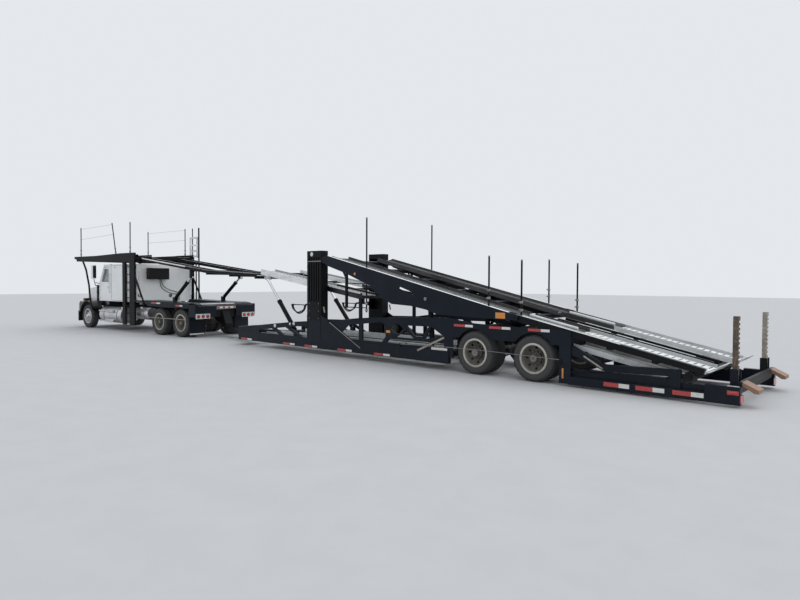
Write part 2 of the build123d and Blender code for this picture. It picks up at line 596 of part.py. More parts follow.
def make_tractor_frame():
    """The tractor's rails, cross members, drop to the hitch, cab mounts and side brackets."""
    rail_y = (RAIL_Y - RAIL_W, RAIL_Y)
    shapes = both_sides(box(RAIL_X, rail_y, RAIL_Z))
    for x in (500, 1680, 3300, 4800, 6400, RAIL_X[1] - 70):
        shapes.append(box((x - 60, x + 60), across(rail_y[0] + 5), (RAIL_Z[0] + 30, RAIL_Z[1] - 30)))
    # drop from the rails to the hitch, and its pin with the collar that carries the tongue
    bottom = TONGUE_Z[1] + 15
    shapes.append(plate([(520, RAIL_Z[1]), (120, RAIL_Z[1]), (-110, 470), (-110, bottom), (90, bottom), (140, 420),
                         (640, RAIL_Z[0])], across(150)))
    shapes.append(box((RAIL_X[0], RAIL_X[0] + 400), across(RAIL_Y), RAIL_Z))
    collar = (TONGUE_Z[0] - 25, TONGUE_Z[0] - RUN)
    shapes += [post(0, 0, (collar[0], bottom + 10), HITCH_PIN_R), post(0, 0, collar, HITCH_PIN_R + 35)]
    # carriers across the rails for the rack's rear posts
    for x0, x1 in REAR_POSTS_X:
        middle = (x0 + x1) / 2
        shapes.append(box((middle - 50, middle + 50), across(RACK_Y[0]), (RAIL_Z[1] - 5, RAIL_Z[1] + 80)))
    # mounts of the cab and the sleeper, on both rails
    for x in (4400, 5700, 6100, 6700):
        shapes += both_sides(box((x - 50, x + 50), rail_y, (RAIL_Z[1] - 5, CAB_FLOOR_Z)))
    # brackets of the hood's pivot, outside the rails' front ends
    x, z = HOOD_PIVOT
    bracket = box((RAIL_X[1] - 60, x + 35), (RAIL_Y - 5, RAIL_Y + 40), (z - 60, z + 60))
    bracket = bracket - box((RAIL_X[1], x + 50), (RAIL_Y - 10, RAIL_Y), (0, CAB_FLOOR_Z))
    shapes += both_sides(bracket.fuse(pin(x, z, (RAIL_Y + 30, RAIL_Y + 110), HOOD_PIN_R)))
    return joined(shapes)


def make_tractor_axles():
    """The two drive axles with their casings, and the front axle beam."""
    block_y = (RAIL_Y - RAIL_W + 5, RAIL_Y - 5)
    z = TRACTOR_TYRE_R
    shapes = []
    for x in DRIVE_AXLES_X:
        shell = pin(x, z, across(DRIVE_OUTER_Y - DRIVE_TWIN - 190), AXLE_R + 20)
        stub = pin(x, z, across(DRIVE_OUTER_Y - 100), AXLE_R)
        casing = revolved([(0, -240), (AXLE_R + 10, -240), (190, -70), (190, 70), (AXLE_R + 10, 240), (0, 240)], x, 0, z)
        shapes.append(joined([shell, stub, casing, *both_sides(box((x - 80, x + 80), block_y, (z, RAIL_Z[0])))]))
    x = FRONT_AXLE_X
    boss = Pos(x, KING_PIN_Y, z) * Cylinder(42, 150)
    arm = box((x - 40, x + 40), (KING_PIN_Y - 90, KING_PIN_Y), (z - 75, z + 75))
    beam = joined([box((x - 45, x + 45), across(KING_PIN_Y - 60), (z - 75, z - 10)), *both_sides(boss.fuse(arm)),
                   *both_sides(box((x - 70, x + 70), block_y, (z - 50, RAIL_Z[0])))])
    shapes.append(beam - both_sides(Pos(x, KING_PIN_Y, z) * Cylinder(KING_PIN_R + RUN, 400)))
    return group(shapes)


def make_knuckle():
    """The steered knuckle on the left side: a fork on the king pin and the stub axle."""
    x, y, z = FRONT_AXLE_X, KING_PIN_Y, TRACTOR_TYRE_R
    king_pin = Pos(x, y, z) * Cylinder(KING_PIN_R, 226)
    fork = [box((x - 50, x + 50), (y - 45, y + 82), sorted((z + s * 80, z + s * 112))) for s in (-1, 1)]
    back = box((x - 50, x + 50), (y + 50, y + 82), (z - 112, z + 112))
    stub = pin(x, z, (y + 60, FRONT_WHEEL_Y + 90), STUB_R)
    return joined([king_pin, *fork, back, stub])


def cab_outline(inset=0.0):
    """The cab's side outline, moved inwards by an inset."""
    return [(CAB_X[0] + inset, CAB_FLOOR_Z + inset), (CAB_X[1] - inset, CAB_FLOOR_Z + inset),
            (CAB_X[1] - inset, SCREEN_FOOT_Z - inset * 0.3), (SCREEN_TOP_X - inset * 0.9, CAB_ROOF_Z - inset),
            (CAB_X[0] + inset, CAB_ROOF_Z - inset)]


def door_outline(gap=0.0):
    """The door's side outline, moved inwards by a gap."""
    slope_x = height_at((CAB_ROOF_Z, SCREEN_TOP_X), (SCREEN_FOOT_Z, CAB_X[1]), DOOR_Z[1]) - 80
    return [(DOOR_X[0] + gap, DOOR_Z[0] + gap), (DOOR_X[1] - gap, DOOR_Z[0] + gap),
            (DOOR_X[1] - gap, SCREEN_FOOT_Z - gap * 0.4), (slope_x - gap, DOOR_Z[1] - gap),
            (DOOR_X[0] + gap, DOOR_Z[1] - gap)]


def window_outline():
    """The side window's outline in the door."""
    sill, head = SCREEN_FOOT_Z + 30, DOOR_Z[1] - 80
    return [(DOOR_X[0] + 85, sill), (DOOR_X[1] - 110, sill), (SCREEN_TOP_X - 15, head), (DOOR_X[0] + 85, head)]


def screen_block(offset, thickness):
    """A block as large as the windscreen opening, square to the cab's sloped front."""
    foot, head = (CAB_X[1], SCREEN_FOOT_Z), (SCREEN_TOP_X, CAB_ROOF_Z)
    mid = along(foot, head, 0.5)
    slope = degrees(atan2(head[1] - foot[1], head[0] - foot[0]))
    length = hypot(head[0] - foot[0], head[1] - foot[1])
    block = Box(length - 190, 2 * CAB_Y - 300, thickness)
    return Pos(mid[0], 0, mid[1]) * Rot(0, -slope, 0) * Pos(0, 0, offset) * block


def way_through():
    """The opening between the cab and the sleeper."""
    return box((CAB_X[0] - WALL - 20, CAB_X[0] + WALL + 20), across(CAB_Y - 300), (CAB_FLOOR_Z + WALL, CAB_ROOF_Z - 270))


def make_cab():
    """The cab's shell with its door openings, windscreen opening and open back to the sleeper."""
    shell = plate(cab_outline(), across(CAB_Y)) - plate(cab_outline(WALL), across(CAB_Y - WALL))
    shell = shell - both_sides(plate(door_outline(), (CAB_Y - WALL - 1, CAB_Y + 50)))
    shell = shell - way_through() - screen_block(0, 200)
    x, y = DOOR_HINGE
    shapes = [shell]
    for z in DOOR_HINGES_Z:
        shapes += both_sides(post(x, y, (z - 66, z + 66), HINGE_PIN_R))
        for low, high in ((z - 66, z - 42), (z + 42, z + 66)):
            shapes += both_sides(post(x, y, (low, high), HINGE_R))
            shapes += both_sides(box((x, CAB_X[1] - 5), (CAB_Y - 5, y), (low, high)))
    return joined(shapes)


def make_cab_glass():
    """The windscreen pane."""
    return screen_block(26, GLASS_T)


def make_door():
    """The left door, as thick as the cab's wall, with its window cut and its mirror on two arms."""
    panel = plate(door_outline(DOOR_GAP), (CAB_Y - WALL, CAB_Y)) - plate(window_outline(), (CAB_Y - 100, CAB_Y + 50))
    x, y = DOOR_HINGE
    knuckles = []
    for z in DOOR_HINGES_Z:
        leaf = post(x, y, (z - 40, z + 40), HINGE_R).fuse(box((x - 70, x), (CAB_Y - 5, y - 3), (z - 40, z + 40)))
        knuckles.append(leaf - post(x, y, (z - 50, z + 50), HINGE_PIN_R + RUN))
    mirror_x, reach, tip = 6850, CAB_Y + 150, CAB_Y + 220
    head = post(mirror_x + 20, tip, (2050, 2610), 95)
    arms = [tube((mirror_x - 110, CAB_Y - 10, z), (mirror_x, reach, z + 60), 14) for z in (1840, 1720)]
    stay = tube((mirror_x, reach, 1770), (mirror_x + 18, tip - 5, 2060), 14)
    return joined([panel, *knuckles, head, *arms, stay])


def make_door_glass():
    """The left door's window pane."""
    return plate(window_outline(), (CAB_Y - WALL / 2 - GLASS_T, CAB_Y - WALL / 2))


def make_sleeper():
    """The sleeper box behind the cab, hollow and open to the cab."""
    outer = box(SLEEPER_X, across(SLEEPER_Y), (CAB_FLOOR_Z, CAB_ROOF_Z))
    outer = fillet(outer.edges().filter_by(Axis.Z).sort_by(Axis.X)[0:2], 60)
    inner = box((SLEEPER_X[0] + WALL, SLEEPER_X[1] - WALL), across(SLEEPER_Y - WALL),
                (CAB_FLOOR_Z + WALL, CAB_ROOF_Z - WALL))
    return outer - inner - way_through()


def make_hood():
    """The hood and front fenders in one tilting piece, open below, with the lugs of its pivot."""
    (x0, x1), (z0, z1) = HOOD_X, HOOD_Z
    side = [(x0, z0), (x1, z0), (x1 + 10, 1500), (x1 - 120, 1640), (x0, z1)]
    inner = [(x0 - 10, z0 - 10), (x1 - HOOD_T, z0 - 10), (x1 - HOOD_T, 1490), (x1 - 130, 1615), (x0 - 10, z1 - 24)]
    shell = plate(side, across(HOOD_HALF)) - plate(inner, across(HOOD_HALF - HOOD_T))
    shell = shell - box((x1 - HOOD_T - 2, x1 + 20), across(GRILLE_Y), GRILLE_Z)
    x, z, arch = FRONT_AXLE_X, TRACTOR_TYRE_R, TRACTOR_TYRE_R + FENDER_GAP
    inside = HOOD_HALF - HOOD_T
    ring = pin(x, z, (inside, FENDER_Y), arch + HOOD_T)
    nose = plate([(x, 1000), (x1 - 120, 1110), (x1 - 40, 1000), (x1 - 40, FENDER_FOOT_Z), (x, FENDER_FOOT_Z)],
                 (inside, FENDER_Y))
    side_wall = plate([(x0 + 480, z0), (x0 + 480, HOOD_PIVOT[1]), (x1 - 20, HOOD_PIVOT[1]), (x1 - 20, z0)],
                      (inside, HOOD_HALF))
    fender = joined([ring, nose, side_wall]) - pin(x, z, (inside - 50, FENDER_Y + 50), arch)
    fender = fender - box((x - 900, x + 900), (inside - 50, FENDER_Y + 50), (-400, FENDER_FOOT_Z))
    px, pz = HOOD_PIVOT
    lug = joined([pin(px, pz, (RAIL_Y + 45, RAIL_Y + 105), 34),
                  box((px - 25, px + 25), (RAIL_Y + 45, RAIL_Y + 105), (pz, z0 + 10)),
                  box((px - 25, x1 - 5), (RAIL_Y + 45, RAIL_Y + 105), (z0 - 60, z0 + 10))])
    lug = lug - pin(px, pz, (RAIL_Y, RAIL_Y + 200), HOOD_PIN_R + RUN)
    return joined([shell, *both_sides(fender), *both_sides(lug)])


def make_grille():
    """The grille: a frame with upright bars, set in the hood's front."""
    x = (HOOD_X[1] - HOOD_T, HOOD_X[1] + 14)
    half, (z0, z1) = GRILLE_Y - RUN, GRILLE_Z
    frame = box(x, across(half), (z0 + RUN, z1 - RUN)) - box((x[0] - 5, x[1] + 5), across(half - 50), (z0 + 50, z1 - 50))
    pitch = (half - 60) / 5
    bars = [box((x[0] + 4, x[1] - 8), (n * pitch - 9, n * pitch + 9), (z0 + 40, z1 - 40)) for n in range(-5, 6)]
    return joined([frame, *bars])


def make_bumper():
    """The front bumper with its brackets."""
    bumper = box(BUMPER_X, across(FENDER_Y - 20), BUMPER_Z)
    bumper = fillet(bumper.edges().filter_by(Axis.Z).sort_by(Axis.X)[-2:], 120)
    arm = box((RAIL_X[1], BUMPER_X[0] + 5), (RAIL_Y - RAIL_W, RAIL_Y - RUN), (BUMPER_Z[1] - 200, BUMPER_Z[1] + 100))
    return joined([bumper, *both_sides(arm)])


def make_air_cleaners():
    """The two round air cleaners beside the cowl."""
    x, y, z = 7050, HOOD_HALF + 210, (960, 1800)
    body = post(x, y, z, 170)
    band = post(x, y, (1470, 1530), 178)
    arm = box((CAB_X[1], x), (y - 40, y + 40), (1300, 1380))
    return group(both_sides(joined([body, band, arm])))


def make_tanks():
    """Fuel tanks with their steps, and the round tanks behind, on brackets from the rails."""
    x0, x1, z, r = FUEL_TANK
    steps = [box((x0 + 550, x1), (TANK_Y + 200, TANK_Y + 340), (h, h + 50)) for h in (330, 740)]
    straps = [box((x - 30, x + 30), (RAIL_Y, TANK_Y - 200), (z + 120, z + 300)) for x in (x0 + 200, x1 - 280)]
    front = joined([tube((x0, TANK_Y, z), (x1, TANK_Y, z), r), *steps, *straps])
    x0, x1, z, r = REAR_TANK
    hangers = [box((x - 30, x + 30), (RAIL_Y, TANK_Y - 140), (z + 55, z + 155)) for x in (x0 + 180, x1 - 160)]
    rear = joined([tube((x0, TANK_Y, z), (x1, TANK_Y, z), r), *hangers])
    return group([*both_sides(front), *both_sides(rear)])


def make_interior():
    """The seats, dash and steering wheel in the cab."""
    shapes = []
    for y in (-600, 600):
        base = box((6000, 6420), (y - 230, y + 230), (CAB_FLOOR_Z + WALL, 1620))
        back = box((5990, 6110), (y - 230, y + 230), (1600, 2200))
        shapes.append(joined([base, back]))
    dash = box((6600, CAB_X[1] - WALL), across(CAB_Y - WALL - 25), (1500, 1830))
    column = tube((6640, 600, 1700), (6480, 600, 1800), 25)
    wheel = Pos(6480, 600, 1800) * Rot(0, -58, 0) * Cylinder(220, 26)
    shapes.append(joined([dash, column, wheel]))
    return group(shapes)


def make_engine():
    """The engine as one plain block."""
    return box((6950, 8050), across(RAIL_Y - RAIL_W - RUN), (620, 1400))


def make_headrack():
    """The rack over the cab: rear posts with ladders, platform, front legs, braces, tracks and poles."""
    y0, y1 = RACK_Y
    rear, front = RACK_X
    middle = (y0 + y1) / 2
    level = RACK_TRACK_Z
    side = [plate([(rear, level - 175), (4800, level - 180), (8120, level - 105), (front, level + 25),
                   (front, level + 110), (6900, level + 110), (4930, level + 165), (rear, level + 165)], (y0, y1))]
    side += [box(x, (y0, y1), (280, level - 125)) for x in REAR_POSTS_X]
    rung_x = (REAR_POSTS_X[1][1] - 10, REAR_POSTS_X[0][0] + 10)
    side += [box(rung_x, (y0 + 20, y1 - 20), (z - 14, z + 14)) for z in range(420, round(level) - 175, 300)]
    leg_line = [(8180, level + 75), (7790, 2430), (7550, 1780), (7440, 1100), (sum(FRONT_FOOT_X) / 2, FRONT_FOOT_Z[0] + 45)]
    side += [bar((a[0], middle, a[1]), (b[0], middle, b[1]), 50, 60) for a, b in zip(leg_line, leg_line[1:])]
    side.append(box(FRONT_FOOT_X, (RAIL_Y, y1 - 10), FRONT_FOOT_Z))
    side.append(bar((4120, y0 + 30, level - 475), (3370, y0 + 30, 1210), 50, 50))
    side.append(box((BODY_X[1] + 10, REAR_POSTS_X[1][0] + 50), (y0, y1), (1180, 1240)))
    # bracket and pin of the tractor's deck
    hinge_x, hinge_z = DECK_HINGE
    side.append(box((hinge_x - 50, rear + 60), (DECK_Y[1] + 15, y0 + 5), (hinge_z - 45, hinge_z + 45)))
    side.append(pin(hinge_x, hinge_z, (DECK_Y[1] - 55, DECK_Y[1] + 20), PIN_R))
    shapes = []
    for piece in side:
        shapes += both_sides(piece)
    for x in (rear + 70, 5200, 6700, front - 90):
        shapes.append(box((x - 45, x + 45), across(y0 + 5), RACK_BEAM_Z))
    shapes += both_sides(deck_track((rear + 30, RACK_TRACK_Z), (front - 20, RACK_TRACK_Z), RACK_TRACK_Y))
    # poles: foot x, top x, foot's and top's heights over the tracks, side
    for x0, x1, z0, z1, at in ((8190, 8180, 75, 1315, 1), (5310, 5600, 105, 1375, 1), (4250, 4240, 115, 1335, 1),
                               (7380, 7380, 75, 1285, -1), (4530, 4530, 115, 1275, -1),
                               (4000, 4000, 115, 1265, -1)):
        shapes.append(tube((x0, at * (y1 - 25), level + z0), (x1, at * (y1 - 25), level + z1), POLE_R))
    return joined(shapes)


def make_tractor_deck():
    """The upper deck behind the cab: double tracks that slope to the rear and reach over the trailer."""
    shapes = []
    front = (DECK_HINGE[0] - 60, DECK_HINGE[1])
    for start, end in ((DECK_BEND, front), (DECK_REAR, DECK_BEND)):
        shapes += both_sides(deck_track(start, end, DECK_Y))
    lug = box((DECK_HINGE[0] - 90, DECK_HINGE[0] + 45), (DECK_Y[1] - 40, DECK_Y[1] + 10),
              (DECK_HINGE[1] - 60, DECK_HINGE[1] + 60))
    shapes += both_sides(lug - pin(*DECK_HINGE, (DECK_Y[1] - 100, DECK_Y[1] + 100), PIN_R + RUN))
    eye, y = TRACTOR_CYLINDER[1], TRACTOR_CYLINDER[2]
    inside = EYE_W + 2 * EAR_GAP
    top = height_at(DECK_BEND, front, eye[0]) + 25
    for piece in (*ears(*eye, y, (eye[1] - EAR_REACH, top), inside),
                  pin(*eye, (y - inside / 2 - EAR_T, y + inside / 2 + EAR_T), EYE_PIN_R)):
        shapes += both_sides(piece)
    for x in (3300, 600, DECK_BEND[0], -1600, DECK_REAR[0] + 70):
        z = height_at(DECK_BEND, front, x) if x >= DECK_BEND[0] else height_at(DECK_REAR, DECK_BEND, x)
        shapes.append(box((x - 40, x + 40), across(DECK_Y[1] - 5), (z - 50, z + 20)))
    return joined(shapes)


def make_tractor_tail():
    """The body over the drive wheels: fenders, tail box, mudflaps and the feet of the lift cylinders."""
    (x0, x1), (y0, y1) = BODY_X, BODY_Y
    fender = plate([(x0 + 370, 1120), (x0 + 370, 1190), (x1, 1250), (x1, 1190), (x1 - 320, 1040), (x0 + 420, 1010)], (y0, y1))
    for x in DRIVE_AXLES_X:
        fender = fender - pin(x, TRACTOR_TYRE_R, (y0 - 100, y1 + 100), TRACTOR_TYRE_R + 50)
    tail = box((x0, x0 + 380), (RAIL_Y, y1), (720, 1150))
    flap = box((x0 + 360, x0 + 376), (y0, y1 - 20), (90, 760))
    carry = box(BODY_FOOT_X, (RAIL_Y - RAIL_W, y0 + 10), (1090, 1190))
    carry = carry.fuse(box(BODY_FOOT_X, (RAIL_Y - RAIL_W, RAIL_Y), (RAIL_Z[1], 1190)))
    (foot_x, foot_z), y = TRACTOR_CYLINDER[0], TRACTOR_CYLINDER[2]
    side = joined([fender, tail, flap, carry, clevis(foot_x, foot_z, y, 1150)])
    middle = box((x0, x0 + 58), across(RAIL_Y + 5), (980, 1150))
    return joined([side, other_side(side), middle])


def make_tractor_lamps():
    """The tractor's lamp bars at the tail."""
    x = (BODY_X[0] - 20, BODY_X[0])
    return group([*both_sides(box(x, (680, 1250), (780, 900))), box(x, across(400), (1000, 1080))])


def make_trailer_lamps():
    """The trailer's side reflectors and tail lamps."""
    y = (HALF_WIDTH, HALF_WIDTH + 6)
    shapes = [box(x, y, (100, 175)) for x in ((-1910, -1450), (-2500, -2020), (-3110, -2630))]
    shapes.append(box((TAIL_X - 12, TAIL_X), (1100, HALF_WIDTH), (80, TAIL_RAIL_Z[1])))
    return group([s for piece in shapes for s in both_sides(piece)])


def placed_tractor(shape):
    """A tractor piece at the yaw at which the tractor stands."""
    return Pos(HITCH_X, 0, 0) * Rot(0, 0, TRACTOR_YAW) * shape


def pair(name, shape):
    """A piece and its mirror image as two nodes."""
    return {f"{name}_left": shape, f"{name}_right": other_side(shape)}


def wheels(rows, z, outer_y, spacing, radius, width, rim_r):
    """The twin wheels of the axles in rows, as (row, x) pairs: tyre and rim nodes of both sides."""
    found = {}
    for row, x in rows:
        tyres, rims = twin_wheel(x, z, outer_y, spacing, radius, width, rim_r)
        found.update(pair(f"tyres_{row}", tyres))
        found.update(pair(f"rims_{row}", rims))
    return found


def build():
    """All nodes by name, in the trailer's frame."""
    trailer = {
        "trailer_frame": make_trailer_frame(),
        "towers": make_towers(),
        "trailer_axles": make_trailer_axles(),
        "main_deck": make_main_deck(),
        "main_deck_tracks": make_main_tracks(),
        "tail_deck": make_tail_deck(),
        "tail_deck_tracks": make_tail_tracks(),
        "main_barrels": group(both_sides(barrel(*MAIN_CYLINDER))),
        "main_rods": group(both_sides(rod(*MAIN_CYLINDER))),
        "bridge_deck": make_bridge_deck(),
        "bridge_barrels": group(both_sides(barrel(*BRIDGE_CYLINDER))),
        "bridge_rods": group(both_sides(rod(*BRIDGE_CYLINDER))),
        **pair("tail_post", make_tail_post()),
        "end_ramps": make_end_ramps(),
        "trailer_lamps": make_trailer_lamps(),
        **wheels(zip("ab", TRAILER_AXLES_X), TRAILER_TYRE_R, TRAILER_OUTER_Y, TRAILER_TWIN, TRAILER_TYRE_R,
                 TRAILER_TYRE_W, TRAILER_RIM_R),
    }
    front_tyre, front_rim = front_wheel()
    tractor = {
        "tractor_frame": make_tractor_frame(),
        "tractor_axles": make_tractor_axles(),
        **pair("knuckle", make_knuckle()),
        "cab": make_cab(),
        "cab_glass": make_cab_glass(),
        "sleeper": make_sleeper(),
        **pair("door", make_door()),
        **pair("door_glass", make_door_glass()),
        "hood": make_hood(),
        "grille": make_grille(),
        "front_bumper": make_bumper(),
        "air_cleaners": make_air_cleaners(),
        "fuel_tanks": make_tanks(),
        "cab_interior": make_interior(),
        "engine": make_engine(),
        "headrack": make_headrack(),
        "tractor_deck": make_tractor_deck(),
        "tractor_barrels": group(both_sides(barrel(*TRACTOR_CYLINDER))),
        "tractor_rods": group(both_sides(rod(*TRACTOR_CYLINDER))),
        "tractor_tail": make_tractor_tail(),
        "tractor_lamps": make_tractor_lamps(),
        **pair("tyre_front", front_tyre),
        **pair("rim_front", front_rim),
        **wheels(zip("cd", DRIVE_AXLES_X), TRACTOR_TYRE_R, DRIVE_OUTER_Y, DRIVE_TWIN, TRACTOR_TYRE_R,
                 TRACTOR_TYRE_W, TRACTOR_RIM_R),
    }
    return trailer | {name: placed_tractor(shape) for name, shape in tractor.items()}


nodes = build()
whole = Compound([s for shape in nodes.values() for s in shape.solids()]).bounding_box()
ORIGIN = (whole.center().X, whole.center().Y, whole.min.Z)
os.makedirs("parts", exist_ok=True)
for name, shape in nodes.items():
    export_step(Pos(-ORIGIN[0], -ORIGIN[1], -ORIGIN[2]) * shape, f"parts/{name}.step")
print("nodes", len(nodes), "origin", [round(v, 2) for v in ORIGIN], "size", whole.size)
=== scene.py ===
"""Car transporter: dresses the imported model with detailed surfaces, procedural finishes, light and a camera.

Lengths are metres. A place is given in one of two working frames, the trailer's (its zero is the ground
below the rear axle) or the tractor's (its zero is the ground below the hitch, turned by the tractor's yaw),
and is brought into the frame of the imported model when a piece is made.
"""

import json
import logging
import math
from dataclasses import dataclass, field
from enum import Enum
from typing import Iterable, Sequence

import bmesh
import bpy
import numpy as np
from mathutils import Matrix, Vector

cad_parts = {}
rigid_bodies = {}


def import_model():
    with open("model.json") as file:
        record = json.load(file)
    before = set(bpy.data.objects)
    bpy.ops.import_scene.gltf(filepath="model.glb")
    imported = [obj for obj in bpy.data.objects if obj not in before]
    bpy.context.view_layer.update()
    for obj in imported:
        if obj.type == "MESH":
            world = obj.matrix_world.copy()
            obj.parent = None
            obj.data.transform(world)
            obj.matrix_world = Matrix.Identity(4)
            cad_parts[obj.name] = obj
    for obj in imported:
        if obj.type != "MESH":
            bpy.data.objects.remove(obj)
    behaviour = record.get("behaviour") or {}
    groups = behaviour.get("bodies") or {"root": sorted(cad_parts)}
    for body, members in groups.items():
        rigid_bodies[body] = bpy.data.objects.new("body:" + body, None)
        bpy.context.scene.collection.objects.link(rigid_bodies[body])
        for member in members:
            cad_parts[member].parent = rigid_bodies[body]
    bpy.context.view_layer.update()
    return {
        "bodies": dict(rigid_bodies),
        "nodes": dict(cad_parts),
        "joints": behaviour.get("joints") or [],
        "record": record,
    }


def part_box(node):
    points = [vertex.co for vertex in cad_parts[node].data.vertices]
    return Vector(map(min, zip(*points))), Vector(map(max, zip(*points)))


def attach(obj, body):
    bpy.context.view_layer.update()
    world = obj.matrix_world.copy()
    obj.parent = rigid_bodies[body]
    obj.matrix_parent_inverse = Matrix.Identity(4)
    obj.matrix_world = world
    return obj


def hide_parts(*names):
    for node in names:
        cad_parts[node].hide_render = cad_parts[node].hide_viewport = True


logging.basicConfig(level=logging.INFO, format="%(message)s")
log = logging.getLogger("transporter")

Pair = tuple[float, float]
Point = tuple[float, float, float]
Colour = tuple[float, float, float]

HITCH_X = 13.0
TRACTOR_YAW = math.radians(5.1)
AHEAD = (1.0, 0.0, 0.0)
LEFTWARDS = (0.0, 1.0, 0.0)
UP = (0.0, 0.0, 1.0)


class Site(Enum):
    """The working frame in which a piece is drawn."""

    TRAILER = "trailer"
    TRACTOR = "tractor"


class Side(Enum):
    """A side of the vehicle and the sign of its y."""

    LEFT = 1
    RIGHT = -1

    @property
    def label(self) -> str:
        """The side's name in node and piece names."""
        return self.name.lower()


class Ground:
    """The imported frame: its nodes, and where the working frames' zero lies in it."""

    def __init__(self, frame: dict) -> None:
        """Reads the zero of the trailer's frame from its rear wheels.
        """
        self.nodes: dict[str, bpy.types.Object] = frame["nodes"]
        near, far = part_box("tyres_b_left"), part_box("tyres_b_right")
        x = (near[0].x + near[1].x) / 2
        y = (near[1].y + far[0].y) / 2
        self.zero = np.array([x, y, 0.0])

    def placed(self, points: np.ndarray, site: Site) -> np.ndarray:
        """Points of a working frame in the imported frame: a turn about the hitch, then a shift.

        Args:
            points: an array of shape (n, 3).
            site: the working frame.

        Returns:
            The moved points.
        """
        if site is Site.TRACTOR:
            c, s = math.cos(TRACTOR_YAW), math.sin(TRACTOR_YAW)
            turn = np.array([[c, -s, 0.0], [s, c, 0.0], [0.0, 0.0, 1.0]])
            points = points @ turn.T + np.array([HITCH_X, 0.0, 0.0])
        return points + self.zero


# Shader arithmetic


class Reading:
    """A socket's value, used in plain arithmetic: each operator adds one Math node."""

    def __init__(self, look: "Look", socket: bpy.types.NodeSocket) -> None:
        """Keeps the socket and the tree it belongs to."""
        self.look, self.socket = look, socket

    def _math(self, operation: str, *values: "Reading | float") -> "Reading":
        """One Math node with its inputs in order."""
        return self.look.node("ShaderNodeMath", {"operation": operation}, dict(enumerate(values)))

    def __add__(self, other: "Reading | float") -> "Reading":
        """Sum."""
        return self._math("ADD", self, other)

    def __radd__(self, other: float) -> "Reading":
        """Sum with the value on the right."""
        return self._math("ADD", other, self)

    def __sub__(self, other: "Reading | float") -> "Reading":
        """Difference."""
        return self._math("SUBTRACT", self, other)

    def __rsub__(self, other: float) -> "Reading":
        """Difference with the value on the right."""
        return self._math("SUBTRACT", other, self)

    def __mul__(self, other: "Reading | float") -> "Reading":
        """Product."""
        return self._math("MULTIPLY", self, other)

    def __rmul__(self, other: float) -> "Reading":
        """Product with the value on the right."""
        return self._math("MULTIPLY", other, self)

    def __mod__(self, other: float) -> "Reading":
        """Remainder, as from a saw wave."""
        return self._math("FLOORED_MODULO", self, other)

    def size(self) -> "Reading":
        """Absolute value."""
        return self._math("ABSOLUTE", self)

    def over(self, edge: float, soft: float = 0.02) -> "Reading":
        """A mask: 0 below the edge and 1 above it, with a smooth step of a given width."""
        return self.look.node("ShaderNodeMapRange", {"interpolation_type": "SMOOTHSTEP"},
                              {0: self, 1: edge - soft / 2, 2: edge + soft / 2})

    def within(self, low: float, high: float, soft: float = 0.004) -> "Reading":
        """A mask that is 1 between two values."""
        return self.over(low, soft) * (1 - self.over(high, soft))


Value = Reading | float
Shade = Reading | Colour


@dataclass(frozen=True)
class Layer:
    """What a finish gives to the surface shader."""

    colour: Reading
    roughness: Value
    metallic: Value = 0.0
    height: Value = 0.0
    coat: float = 0.0
    specular: float = 0.5


